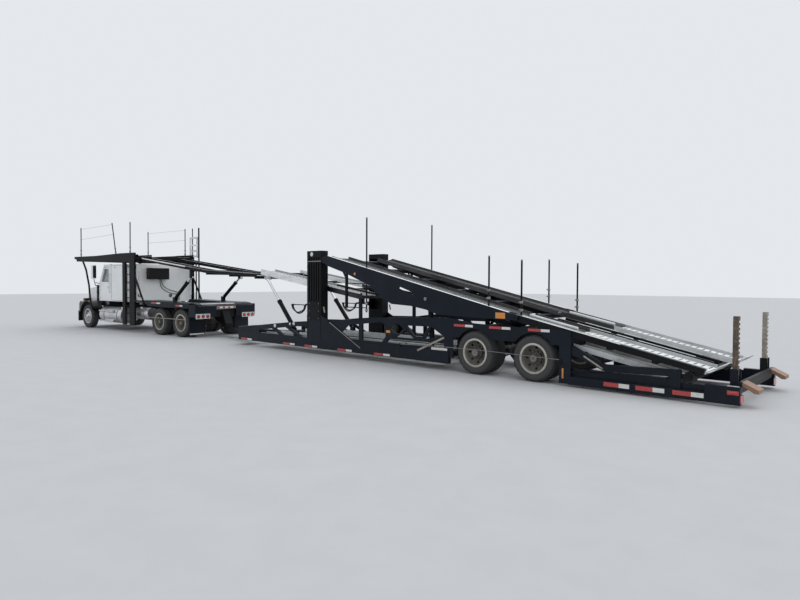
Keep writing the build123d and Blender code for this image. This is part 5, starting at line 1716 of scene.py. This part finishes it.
@dataclass
class Poles(Trim):
    """Collars, clamp knobs and end caps of the guard poles, and the safety cables between them."""

    main: tuple[Pole, ...] = (Pole((4.637, 1.20), (4.637, 3.54), 1.262, 1.23),
                              Pole((1.036, 1.42), (1.036, 2.50), 1.262, 1.60))
    tail: tuple[Pole, ...] = (Pole((0.293, 1.275), (0.293, 2.40), 1.216, 1.37),)
    rack: tuple[Pole, ...] = (
        Pole((8.19, 2.95), (8.18, 4.19), 1.270), Pole((5.31, 2.98), (5.60, 4.25), 1.270),
        Pole((4.25, 2.99), (4.24, 4.21), 1.270), Pole((7.38, 2.95), (7.38, 4.16), -1.270),
        Pole((4.53, 2.99), (4.53, 4.15), -1.270), Pole((4.00, 2.99), (4.00, 4.14), -1.270))
    cables: tuple[tuple[Point, Point], ...] = (
        ((8.165, 1.262, 4.13), (5.585, 1.262, 4.19)), ((8.168, 1.262, 3.70), (5.495, 1.262, 3.80)),
        ((7.36, -1.262, 4.08), (4.55, -1.262, 4.09)), ((7.36, -1.262, 3.66), (4.55, -1.262, 3.67)))
    radius: float = 0.019
    collar_step: float = 0.16

    def fittings(self, pole: Pole) -> list[Form]:
        """Two collars with a knob each round the pole, and a cap on its top.

        Args:
            pole: the pole.

        Returns:
            The forms.
        """
        r, (x0, z0), (x1, z1), y = self.radius, pole.foot, pole.top, pole.y
        collar = [(r - 0.002, 0), (r + 0.012, 0), (r + 0.014, 0.004), (r + 0.014, 0.046), (r + 0.012, 0.05),
                  (r - 0.002, 0.05)]
        made = []
        for z in (pole.collar_z, pole.collar_z + self.collar_step):
            x = x0 + (x1 - x0) * (z - z0) / (z1 - z0)
            made.append(lathe(collar, (x, y, z), 20, "z", True))
            made.append(rod_form((x + r + 0.008, y, z + 0.025), (x + r + 0.045, y, z + 0.025), 0.010, 12))
        cap = [(0, -0.0005), (r * 1.12, -0.0005), (r * 1.12, -0.028), (r - 0.001, -0.030)]
        return [*made, lathe(cap, (x1, y, z1), 18, "z")]

    def build(self) -> None:
        """Fittings on three bodies, cables on the rack."""
        main, tail, rack = ([form for pole in poles for form in self.fittings(pole)]
                            for poles in (self.main, self.tail, self.rack))
        self.pair("main_pole_fittings", main, STEEL, "main_deck")
        self.pair("tail_pole_fittings", tail, STEEL, "tail_deck")
        self.add("rack_pole_fittings", rack, STEEL, "tractor", Site.TRACTOR)
        cables = [rod_form(*ends, 0.0042, 8) for ends in self.cables]
        self.add("rack_safety_cables", cables, STEEL, "tractor", Site.TRACTOR)


@dataclass
class Hydraulics(Trim):
    """Valve bank, pipes and hoses of the trailer."""

    bank_x: Pair = (5.78, 6.22)
    bank_y: Pair = (1.06, 1.17)
    bank_z: Pair = (0.52, 0.70)
    levers: int = 6
    hose_y: Pair = (0.996, 0.958)
    hose_z: float = 1.324
    rail_x: float = 6.893

    def valves(self) -> tuple[list[Form], list[Form]]:
        """The valve bank: sections side by side, each with a lever and its ball, ports below.

        Returns:
            The body's forms and the levers' balls.
        """
        (x0, x1), (y0, y1), (z0, z1) = self.bank_x, self.bank_y, self.bank_z
        width = (x1 - x0) / self.levers
        ball = [(0, -0.014), (0.010, -0.010), (0.014, 0.0), (0.010, 0.010), (0, 0.014)]
        body, balls = [], []
        for n in range(self.levers):
            a = x0 + n * width
            x = a + width / 2
            tip = (x + 0.006 * (n % 3 - 1), y1 + 0.055, z1 + 0.10)
            body += [block((a + 0.003, a + width - 0.003), (y0, y1), (z0, z1), 0.006),
                     rod_form((x, y1 - 0.03, z1 - 0.01), tip, 0.006, 8),
                     *[hex_nut((x, y0 + dy, z0 + 0.002), 0.014, 0.03, "z", -1) for dy in (0.03, 0.075)]]
            balls.append(lathe(ball, tip, 12, "z"))
        ends = (x0 - 0.02, x1 + 0.02)
        body += [block(ends, (y0 - 0.02, y0 + 0.01), (z0 - 0.085, z1 + 0.02), 0.003),
                 block(ends, (y0 - 0.02, y1 + 0.05), (z0 - 0.095, z0 - 0.083), 0.003)]
        return body, balls

    def hoses(self) -> list[Form]:
        """Five hoses from the bank to the tower, and two that hang in a loop between their rail's ends.

        Returns:
            The hoses.
        """
        made = []
        for n in range(5):
            x, y = self.bank_x[0] + 0.04 + n * 0.075, self.bank_y[0] + 0.03
            made.append(pipe([(x, y, 0.49), (x + 0.01, y - 0.01, 0.44), (x + 0.06, y - 0.03, 0.405),
                              (6.36 + n * 0.02, y - 0.05, 0.395), (6.56 + n * 0.03, y - 0.03, 0.43)], 0.010))
        for y, low in zip(self.hose_y, (1.085, 1.055)):
            loop = [(7.957, 1.30), (7.935, 1.20), (7.80, low + 0.025), (7.68, low), (7.56, low + 0.03),
                    (7.44, 1.17), (7.38, 1.29), *[(x, self.hose_z) for x in (7.28, 7.10, 6.93)]]
            made.append(pipe([(x, y, z) for x, z in loop], 0.018))
        return made

    def build(self) -> None:
        """The bank, the pipes along the sills with their clips, the hoses, and the rails that carry them."""
        body, balls = self.valves()
        self.pair("valve_bank", body, CAST)
        self.pair("valve_levers", balls, TRIM)
        pipes = [rod_form((2.45, 1.205, z), (5.75, 1.205, z), 0.007, 8) for z in (0.470, 0.492, 0.514)]
        self.pair("sill_pipes", pipes, STEEL)
        clips = [block((x, x + 0.03), (1.190, 1.226), (0.435, 0.526), 0.003)
                 for x in np.arange(2.6, 5.7, 0.75)]
        self.pair("sill_pipe_clips", clips, FRAME_BLACK)
        self.pair("trailer_hoses", self.hoses(), HOSE)
        rail = [block((6.80, 6.895), (0.930, 1.060), (1.26, 1.37)),
                block((6.89, 7.975), (0.945, 1.012), (1.288, 1.311)),
                block((7.940, 7.975), (0.935, 1.018), (1.262, 1.318)),
                *[block((x, x + 0.024), (0.936, 1.018), (1.300, 1.347), 0.003) for x in (7.02, 7.22)]]
        self.pair("hose_rails", rail, FRAME_BLACK)
        sleeve = [(0.016, 0), (0.021, 0), (0.021, 0.05), (0.016, 0.055)]
        ends = [lathe(sleeve, (self.rail_x, y, self.hose_z), 12, "x", True) for y in self.hose_y]
        self.pair("hose_ends", ends, STEEL)


@dataclass
class Suspension(Trim):
    """Leaf springs, brake chambers, air bags and shock absorbers of both vehicles."""

    trailer_axles: Pair = (1.39, 0.0)
    drive_axles: Pair = (2.355, 1.005)
    leaf: Pair = (0.075, 0.011)
    leaf_step: float = 0.0125
    chamber_y: float = 0.30
    bag: tuple[Pair, ...] = (
        (0, 0), (0.085, 0), (0.10, 0.01), (0.128, 0.035), (0.132, 0.06), (0.118, 0.078), (0.130, 0.095),
        (0.132, 0.125), (0.118, 0.145), (0.09, 0.155), (0, 0.155))
    bowl: tuple[Pair, ...] = (
        (0, -0.085), (0.05, -0.085), (0.070, -0.065), (0.078, -0.008), (0.086, -0.008), (0.086, 0.008),
        (0.078, 0.008), (0.070, 0.055), (0.045, 0.075), (0, 0.075))

    def spring(self, x: float, y: float, z: float, half: float = 0.46, leaves: int = 5) -> list[Form]:
        """A leaf spring under its axle: bent leaves that grow shorter downwards, with a pack plate and bolts.

        Each leaf is a parabola: it rises at its ends by a share of the half length squared.

        Args:
            x: its middle.
            y: its place across.
            z: the main leaf's height at the middle.
            half: half the main leaf's length.
            leaves: how many leaves.

        Returns:
            The forms.
        """
        made = []
        for n in range(leaves):
            u = np.linspace(-1, 1, 9) * half * (1 - 0.17 * n)
            line = np.stack([x + u, np.full(9, y), z - self.leaf_step * n + 0.30 * u ** 2], axis=1)
            made.append(carried(rectangle(*self.leaf, 0.002), line))
        foot = z - self.leaf_step * leaves
        made.append(block((x - 0.075, x + 0.075), (y - 0.055, y + 0.055), (foot - 0.006, foot + 0.010)))
        return made + [rod_form((x + dx, y + dy, z - 0.075), (x + dx, y + dy, z + 0.11), 0.009, 10)
                       for dx in (-0.055, 0.055) for dy in (-0.045, 0.045)]

    def chamber(self, x: float, z: float, sign: int) -> list[Form]:
        """A brake chamber: two pressed bowls with a clamp band between, and the push rod on its sign's side.

        Args:
            x: its place along the vehicle.
            z: its height.
            sign: 1 where the rod points forwards, -1 backwards.

        Returns:
            Bowls and rod.
        """
        y = self.chamber_y
        rod = rod_form((x + 0.07 * sign, y, z), (x + 0.17 * sign, y, z - 0.01), 0.008, 10)
        return [lathe(self.bowl, (x, y, z), 24, "x"), rod]

    @staticmethod
    def arms(x: float) -> tuple[Form, ...]:
        """A drive axle's arm with its pads, and its shock absorber's two tubes.

        Args:
            x: the axle's place.

        Returns:
            The forms.
        """
        return (beam((x + 0.42, 0.475, 0.62), (x - 0.50, 0.475, 0.515), 0.075, 0.035),
                block((x - 0.52, x - 0.32), (0.41, 0.54), (0.515, 0.534)),
                block((x + 0.38, x + 0.46), (0.44, 0.51), (0.56, 0.71)),
                rod_form((x + 0.20, 0.36, 0.40), (x + 0.14, 0.36, 0.56), 0.034, 16),
                rod_form((x + 0.15, 0.36, 0.54), (x + 0.11, 0.36, 0.72), 0.040, 16))

    def build(self) -> None:
        """The trailer's springs and chambers, then the tractor's parts."""
        springs = [form for x in self.trailer_axles for form in self.spring(x, 0.475, 0.355)]
        chambers = [form for x in self.trailer_axles for form in self.chamber(x - 0.22, 0.47, 1)]
        self.pair("trailer_springs", springs, CAST)
        self.pair("trailer_brakes", chambers, TRIM)
        tractor = ("tractor", Site.TRACTOR)
        bags = [lathe(self.bag, (x - 0.42, 0.475, 0.535), 28, "z") for x in self.drive_axles]
        self.pair("air_bags", bags, HOSE, *tractor)
        self.pair("air_bag_arms", [form for x in self.drive_axles for form in self.arms(x)], CAST, *tractor)
        self.pair("front_springs", self.spring(7.9, 0.43, 0.385, 0.62, 3), CAST, *tractor)
        chambers = [form for x in self.drive_axles for form in self.chamber(x + 0.26, 0.53, -1)]
        self.pair("tractor_brakes", chambers, TRIM, *tractor)


@dataclass
class TailFittings(Trim):
    """The white strips on the trailer's tail, and the pins at the posts' feet."""

    post: Point = (-3.50, 1.020, 0.52)
    post_half: float = 0.062

    def build(self) -> None:
        """The strips, then a cap on both ends of each post's pin."""
        self.pair("tail_strips", [plate_at((-3.615, -3.44), 1.268, (0.305, 0.345))], STRIP_WHITE)
        x, y, z = self.post
        pins = pin_cap(x, y + self.post_half, z, 0.030) + pin_cap(x, y - self.post_half, z, 0.030, -1)
        self.on_each_side("post_pins", pins, STEEL, "tail_post")


# Tractor


@dataclass
class TractorTrim(Trim):
    """Base of what dresses a region of the tractor."""

    body: str = "tractor"
    site: Site = Site.TRACTOR


@dataclass
class TractorTail(TractorTrim):
    """Rear lamps, apron, strips and side rail of the tractor's tail."""

    rear_x: float = 0.060
    side_y: float = 1.275
    lamp_y: Pair = (0.680, 1.250)
    lamp_z: float = 0.75
    lens_shares: tuple[float, ...] = (0.18, 0.5, 0.82)

    def lamps(self) -> None:
        """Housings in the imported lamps' place, with three ringed lenses a side, and the middle strip."""
        x, z, (y0, y1) = self.rear_x, self.lamp_z, self.lamp_y
        housing = block((x - 0.014, x), (y0, y1), (z - 0.085, z + 0.085), 0.005)
        strip = block((x - 0.012, x), (-0.40, 0.40), (1.000, 1.080), 0.004)
        ring_profile = [(0.050, 0), (0.064, 0), (0.064, -0.008), (0.058, -0.013), (0.052, -0.010)]
        rings, lenses, bolts = [], [], []
        for y in (y0 + (y1 - y0) * share for share in self.lens_shares):
            rings.append(lathe(ring_profile, (x - 0.013, y, z), 28, "x", True))
            lenses.append(lens_dome((x - 0.0125, y, z), (0.053, 0.053), 0.022, (-1.0, 0.0, 0.0), 28))
            bolts += [hex_nut((x - 0.014, y + 0.078, z + dz), 0.007, 0.005, "x", -1) for dz in (-0.06, 0.06)]
        made = self.add("rear_lamp_housings", [*both_sides([housing]), strip], PIN_WHITE)
        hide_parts("tractor_lamps")
        self.pair("rear_lamp_rings", rings + bolts, TRIM)
        self.pair("rear_lamp_lenses", lenses, RED_LENS)
        fields = [block((x - 0.0155, x - 0.0115), (y, y + 0.096), (1.010, 1.070), 0.001)
                  for y in np.arange(-0.39, 0.35, 0.114)]
        self.add("rear_strip_red", fields[::2], STRIP_RED)
        self.add("rear_strip_white", fields[1::2], STRIP_WHITE)

    def build(self) -> None:
        """Lamps, apron, mudflap strips, side strips and rails."""
        self.lamps()
        apron = sheet_bar([(0.050, 1.100), (0.140, 1.158), (0.290, 1.188), (0.480, 1.200)], (-1.165, 1.165),
                          0.024)
        # the apron wears the darkened zinc: worn steel with painted shade
        self.add("tail_apron", [apron], ZINC_WORN_AND_SHADED)
        # painted highlight: a bright strip over part of the apron's curved top
        edge = sheet_bar([(0.055, 1.118), (0.140, 1.1715), (0.215, 1.190)], (-0.42, 0.98), 0.004)
        self.add("apron_edge", [edge], ZINC)
        strip = block((0.4165, 0.4198), (0.665, 1.240), (0.105, 0.150), 0.001)
        self.pair("flap_strips", [strip], STRIP_WHITE)
        high, low = (1.135, 1.185), (1.075, 1.125)
        red = [plate_at((2.44, 2.80), self.side_y, high), plate_at((0.98, 1.23), self.side_y, low)]
        white = [plate_at((2.20, 2.436), self.side_y, high), plate_at((0.81, 0.976), self.side_y, low)]
        self.pair("fender_strips_red", red, STRIP_RED)
        self.pair("fender_strips_white", white, STRIP_WHITE)
        rail = rod_form((3.07, 1.283, 0.625), (0.59, 1.283, 0.625), 0.013, 14)
        legs = [block((x - 0.02, x + 0.02), (1.255, 1.285), (0.60, 0.72)) for x in (0.64, 3.02)]
        self.pair("side_rails", [rail, *legs], POST_PALE)


@dataclass(frozen=True)
class Tank:
    """A fuel tank: its middle's height, radius, the places of its straps and of its filler cap."""

    z: float
    radius: float
    straps: Pair
    cap: float


@dataclass
class Tanks(TractorTrim):
    """Straps, caps and steps of the fuel tanks."""

    y: float = 0.900
    tanks: tuple[Tank, ...] = (Tank(0.600, 0.320, (5.42, 6.42), 5.27), Tank(0.725, 0.225, (3.58, 4.30), 3.95))
    neck: tuple[Pair, ...] = ((0, -0.03), (0.048, -0.03), (0.048, 0.02), (0.058, 0.022), (0.058, 0.050),
                              (0.050, 0.058), (0, 0.058))
    step_x: Pair = (5.60, 6.25)
    bracket_x: tuple[Pair, Pair] = ((5.63, 5.65), (6.20, 6.22))

    def strap(self, tank: Tank, x: float) -> list[Form]:
        """A strap round a tank, and the lug that tightens it.

        Args:
            tank: the tank.
            x: the strap's place.

        Returns:
            The strap and its lug.
        """
        r, side = tank.radius, self.y + tank.radius * 0.72
        profile = [(r - 0.002, -0.025), (r + 0.006, -0.025), (r + 0.006, 0.025), (r - 0.002, 0.025)]
        lug = block((x - 0.02, x + 0.02), (side, side + 0.03), (tank.z - r * 0.80, tank.z - r * 0.66))
        return [lathe(profile, (x, self.y, tank.z), 40, "x", True), lug]

    def cap(self, tank: Tank) -> Form:
        """A filler neck and its cap, on the tank's shoulder."""
        centre = (tank.cap, self.y + tank.radius * 0.45, tank.z + tank.radius * 0.86)
        return lathe(self.neck, centre, 20, "z")

    def build(self) -> None:
        """Both tanks of each side, then the steps before the larger one."""
        straps = [form for tank in self.tanks for x in tank.straps for form in self.strap(tank, x)]
        self.pair("tank_straps", straps, STEEL)
        self.pair("tank_caps", [self.cap(tank) for tank in self.tanks], CHROME)
        y, treads = self.y, []
        for z in (0.40, 0.74):
            treads += [block(self.step_x, (y + 0.27, y + 0.345), (z, z + 0.022)),
                       block(self.step_x, (y + 0.333, y + 0.345), (z - 0.03, z + 0.045), 0.003),
                       *[block(x, (y + 0.20, y + 0.29), (z, z + 0.022)) for x in self.bracket_x]]
        self.pair("tank_steps", treads, DULL_ALLOY)


@dataclass
class Sleeper(TractorTrim):
    """The sleeper's store box, vents, lines, seams, hatches, marker lamps and grab rails."""

    rear_x: float = 3.960
    side_y: float = 1.200
    contact: float = 0.0003
    vents: tuple[Pair, ...] = ((1.070, 1.415), (-0.230, 1.400))
    lines: tuple[tuple[Pair, ...], ...] = (
        ((0.15, 2.03), (0.13, 1.86), (0.01, 1.72), (-0.26, 1.60), (-0.52, 1.53), (-0.60, 1.40),
         (-0.60, 1.19)),
        ((0.22, 2.03), (0.20, 1.80), (0.08, 1.64), (-0.22, 1.50), (-0.50, 1.44), (-0.55, 1.34),
         (-0.55, 1.19)))
    clips: tuple[Pair, ...] = ((0.12, 1.83), (-0.26, 1.60), (-0.60, 1.36), (0.195, 1.78), (-0.22, 1.50))
    seam: float = 0.0022

    def rear(self) -> None:
        """Store box, vents with their slats, and the lines with their clips, each given by (y, z)."""
        x = self.rear_x
        wall = x - self.contact
        store = [block((x - 0.23, wall), (-0.05, 0.79), (2.03, 2.47), 0.012),
                 block((x - 0.238, x - 0.2297), (-0.035, 0.775), (2.045, 2.455), 0.003),
                 *[block((x - 0.252, x - 0.2377), (y - 0.03, y + 0.03), (2.40, 2.45), 0.003)
                   for y in (0.12, 0.62)]]
        self.add("store_box", store, GUARD_BLACK)
        rim = [(0.046, -0.004), (0.068, -0.004), (0.070, 0.004), (0.070, 0.014), (0.046, 0.014)]
        vents = [lathe(rim, (x - 0.0135, y, z), 28, "x", True) for y, z in self.vents]
        vents += [block((x - 0.008, wall), (y - 0.047, y + 0.047), (z + dz - 0.004, z + dz + 0.004), 0.001)
                  for y, z in self.vents for dz in (-0.03, -0.015, 0.0, 0.015, 0.03)]
        self.add("sleeper_vents", vents, TRIM)
        lines = [pipe([(x - 0.014, *first), *[(x - 0.016, y, z) for y, z in rest]], 0.010, 10, AHEAD)
                 for first, *rest in self.lines]
        self.add("sleeper_lines", lines, HOSE)
        clips = [block((x - 0.028, wall), (y - 0.012, y + 0.012), (z - 0.012, z + 0.012), 0.003)
                 for y, z in self.clips]
        self.add("line_clips", clips, STEEL)

    def sides(self) -> None:
        """Seams, hatches with their edges and locks, marker lamps and grab rails."""
        y = self.side_y
        seams = [plate_at((x - 0.006, x + 0.006), y, (1.20, 2.60), self.seam) for x in (4.96, 5.825)]
        seams += [plate_at((4.02, 5.80), y, (z - 0.005, z + 0.005), self.seam) for z in (1.195, 2.585)]
        self.pair("sleeper_seams", seams, TRIM)
        self.pair("sleeper_hatches", [plate_at((4.10, 4.72), y, (1.24, 1.86), 0.004)], CAB_WHITE)
        edges = [plate_at((4.09, 4.73), y, (z, z + 0.006), 0.002) for z in (1.231, 1.863)]
        edges += [plate_at((x, x + 0.006), y, (1.231, 1.869), 0.002) for x in (4.091, 4.723)]
        lock = [(0, 0), (0.022, 0), (0.022, 0.006), (0.016, 0.009), (0, 0.009)]
        edges += [lathe(lock, (4.16, y + 0.004, z), 18) for z in (1.40, 1.70)]
        self.pair("hatch_trim", edges, TRIM)
        lamps = [lens_dome((x, y, 2.50), (0.05, 0.022), 0.018, LEFTWARDS) for x in (4.25, 5.55)]
        self.pair("sleeper_markers", lamps, AMBER_LENS)
        rail = [(x, 1.12, z) for x, z in ((3.945, 1.36), (3.885, 1.39), (3.885, 2.29), (3.945, 2.32))]
        self.pair("sleeper_grab_rails", chain(rail, 0.013), CHROME)

    def build(self) -> None:
        """The rear wall, then the sides."""
        self.rear()
        self.sides()


@dataclass
class FarFrame(TractorTrim):
    """The far side's posts behind the sleeper and the pale ladder frame over the rack's rear."""

    y: float = -1.260
    upright_x: Pair = (3.66, 4.13)
    rung_z: tuple[float, ...] = (2.99, 3.21, 3.44, 3.745)

    def build(self) -> None:
        """Posts, bar and ladder frame."""
        y = self.y
        posts = [rod_form((3.55, y, 1.19), (3.55, y, 4.14), 0.030, 20),
                 rod_form((3.74, y, 1.19), (3.74, y, 2.76), 0.025, 18),
                 beam((3.55, y, 2.735), (3.94, y, 2.735), 0.05, 0.05),
                 block((3.49, 3.80), (y - 0.02, y + 0.04), (1.175, 1.20))]
        self.add("far_posts", posts, FRAME_BLACK)
        frame = [block((x - 0.036, x + 0.036), (y - 0.022, y + 0.022), (2.93, 3.78)) for x in self.upright_x]
        frame += [block((3.56, 4.16), (y - 0.017, y + 0.017), (z - 0.032, z + 0.032)) for z in self.rung_z]
        self.add("far_ladder", frame, ZINC_BRIGHT)


@dataclass
class CabTrim(TractorTrim):
    """Door handles, mirror glasses, grab rails and roof lamps of the cab."""

    side_y: float = 1.180
    grab_x: float = 5.93
    marker_y: tuple[float, ...] = (-0.95, -0.32, 0.0, 0.32, 0.95)

    def doors(self) -> None:
        """Handle, lock and mirror glass of each door, riding on the door."""
        y = self.side_y
        handle = [block((6.04, 6.20), (y + 0.022, y + 0.034), (1.70, 1.735)),
                  *[block(x, (y - 0.002, y + 0.026), (1.705, 1.73), 0.003)
                    for x in ((6.045, 6.065), (6.175, 6.195))],
                  lathe([(0, 0), (0.014, 0), (0.014, 0.006), (0, 0.007)], (6.10, y, 1.66), 14)]
        self.on_each_side("door_handle", handle, CHROME, "door")
        # The mirror glass is black paint: a painted dark reflection.
        glass = [block((6.764, 6.792), (1.335, 1.465), (2.085, 2.575), 0.010)]
        self.on_each_side("mirror_glass", glass, GUARD_BLACK, "door")

    def build(self) -> None:
        """Doors, grab rails and roof lamps."""
        self.doors()
        foot, grip = self.side_y - 0.005, self.side_y + 0.060
        rail = [(self.grab_x, y, z) for y, z in ((foot, 1.50), (grip, 1.53), (grip, 2.22), (foot, 2.25))]
        self.pair("cab_grab_rails", chain(rail, 0.014), CHROME)
        lamps = [lens_dome((6.33, y, 2.621), (0.055, 0.030), 0.03, AHEAD) for y in self.marker_y]
        self.add("roof_markers", lamps, AMBER_LENS)


@dataclass
class FrontTrim(TractorTrim):
    """Headlamp pods and lamps of the hood, and fog lamps, hooks and strips of the bumper."""

    body: str = "hood"
    lamp: Point = (8.563, 0.915, 1.12)
    bumper_x: float = 8.785
    hook_y: Pair = (0.42, 0.49)

    def build(self) -> None:
        """Pods and lamps on the hood, lamps, hooks and strips on the bumper."""
        x, y, z = self.lamp
        self.pair("lamp_pods", [block((8.33, 8.565), (0.772, 1.040), (1.01, 1.23), 0.028)], GUARD_BLACK)
        rim = [(0.070, -0.01), (0.092, -0.01), (0.092, 0.010), (0.082, 0.018), (0.070, 0.012)]
        self.pair("lamp_bezels", [lathe(rim, (x + 0.002, y, z), 30, "x", True)], CHROME)
        self.pair("headlamp_lenses", [lens_dome(self.lamp, (0.074, 0.074), 0.022, AHEAD, 28)], CLEAR_LENS)
        self.pair("turn_lenses", [lens_dome((8.45, 1.040, z), (0.055, 0.030), 0.016, LEFTWARDS)], AMBER_LENS)
        fog = lens_dome((8.790, 0.72, 0.46), (0.075, 0.055), 0.020, AHEAD, 24)
        self.pair("fog_lamps", [fog], CLEAR_LENS, "tractor")
        (y0, y1), foot, out = self.hook_y, self.bumper_x, self.bumper_x + 0.030
        hook = chain([(at, y, 0.36) for at, y in ((foot, y0), (out, y0), (out, y1), (foot, y1))], 0.012)
        strips = [block((8.7895, 8.796), (-0.36, 0.36), (z, z + 0.015), 0.002) for z in (0.37, 0.60)]
        self.add("bumper_trim", both_sides(hook) + strips, CHROME, "tractor")


# Light, floor and camera


@dataclass
class Studio:
    """A pale floor, a soft sky and the camera of the photograph."""

    ground: Ground
    eye: Point = (-5.9705, 11.6641, 1.9238)
    yaw: float = -0.8312
    pitch: float = -0.0280
    roll: float = 0.0042
    focal_px: float = 600.83
    image_px: float = 800.0
    sky: Colour = (0.80, 0.84, 0.88)
    backdrop: Colour = (0.78, 0.81, 0.84)
    floor_tones: tuple[Colour, Colour] = ((0.46, 0.46, 0.47), (0.52, 0.52, 0.53))
    floor_half: float = 90.0
    sensor: float = 36.0

    def floor(self) -> None:
        """A wide floor that shows as a plain pale tone and keeps the object's shadow."""
        mesh = bpy.data.meshes.new("floor")
        half = self.floor_half
        corners = [(-half, -half, 0), (half, -half, 0), (half, half, 0), (-half, half, 0)]
        mesh.from_pydata(corners, [], [(0, 1, 2, 3)])
        floor = bpy.data.objects.new("floor", mesh)
        bpy.context.scene.collection.objects.link(floor)
        look = Look("floor_pale")
        mesh.materials.append(look.finish(Layer(look.mix(look.noise(2.0, 5.0), *self.floor_tones), 0.9)))

    def lights(self) -> None:
        """One wide soft lamp from above for the floor's shadow, and a sky that lights all round."""
        sun = bpy.data.lights.new("overcast", "SUN")
        sun.energy, sun.angle = 1.3, math.radians(70)
        lamp = bpy.data.objects.new("overcast", sun)
        lamp.rotation_euler = (math.radians(20), math.radians(-24), 0.0)
        bpy.context.scene.collection.objects.link(lamp)
        world = bpy.data.worlds.new("sky")
        bpy.context.scene.world = world
        world.use_nodes = True
        tree = world.node_tree
        tree.nodes.clear()
        path = tree.nodes.new("ShaderNodeLightPath")
        seen = tree.nodes.new("ShaderNodeMath")
        seen.operation = "MAXIMUM"
        choice = tree.nodes.new("ShaderNodeMixShader")
        tree.links.new(path.outputs["Is Camera Ray"], seen.inputs[0])
        tree.links.new(path.outputs["Is Transmission Ray"], seen.inputs[1])
        tree.links.new(seen.outputs[0], choice.inputs[0])
        for socket, tone, strength in ((1, self.sky, 0.95), (2, self.backdrop, 1.0)):
            light = tree.nodes.new("ShaderNodeBackground")
            light.inputs["Color"].default_value = (*tone, 1.0)
            light.inputs["Strength"].default_value = strength
            tree.links.new(light.outputs[0], choice.inputs[socket])
        output = tree.nodes.new("ShaderNodeOutputWorld")
        tree.links.new(choice.outputs[0], output.inputs["Surface"])

    def camera(self) -> None:
        """The photograph's camera: axes from yaw, pitch and roll, lens from the focal length in pixels."""
        level = math.cos(self.pitch)
        forward = np.array([level * math.cos(self.yaw), level * math.sin(self.yaw), math.sin(self.pitch)])
        right = np.array([math.sin(self.yaw), -math.cos(self.yaw), 0.0])
        up = np.cross(right, forward)
        c, s = math.cos(self.roll), math.sin(self.roll)
        right, up = right * c + up * s, up * c - right * s
        data = bpy.data.cameras.new("view")
        data.sensor_width = self.sensor
        data.lens = self.focal_px / self.image_px * self.sensor
        data.clip_end = 300.0
        camera = bpy.data.objects.new("view", data)
        spot = self.ground.zero + np.array(self.eye)
        rows = [(*axis, 0.0) for axis in np.stack([right, up, -forward], axis=1)]
        camera.matrix_world = Matrix.Translation(Vector(spot)) @ Matrix([*rows, (0, 0, 0, 1)])
        bpy.context.scene.collection.objects.link(camera)
        bpy.context.scene.camera = camera

    def build(self) -> None:
        """Floor, lights and camera."""
        self.floor()
        self.lights()
        self.camera()
        bpy.context.scene.view_settings.view_transform = "Standard"


def main() -> None:
    """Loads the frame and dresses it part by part."""
    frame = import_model()
    ground = Ground(frame)
    maker = Maker(ground)
    Finishes(maker).build()
    RunningGear(maker).build()
    TrackPlates(maker).build()
    for region in (LowTracks, Reflectors, TrailerEdges, TowerFittings, DeckEdges, TailDeckTrim, Poles,
                   Hydraulics, Suspension, TailFittings, TractorTail, Tanks, Sleeper, FarFrame, CabTrim,
                   FrontTrim):
        region(maker).build()
    Studio(ground).build()
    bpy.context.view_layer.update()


if __name__ == "__main__":
    main()
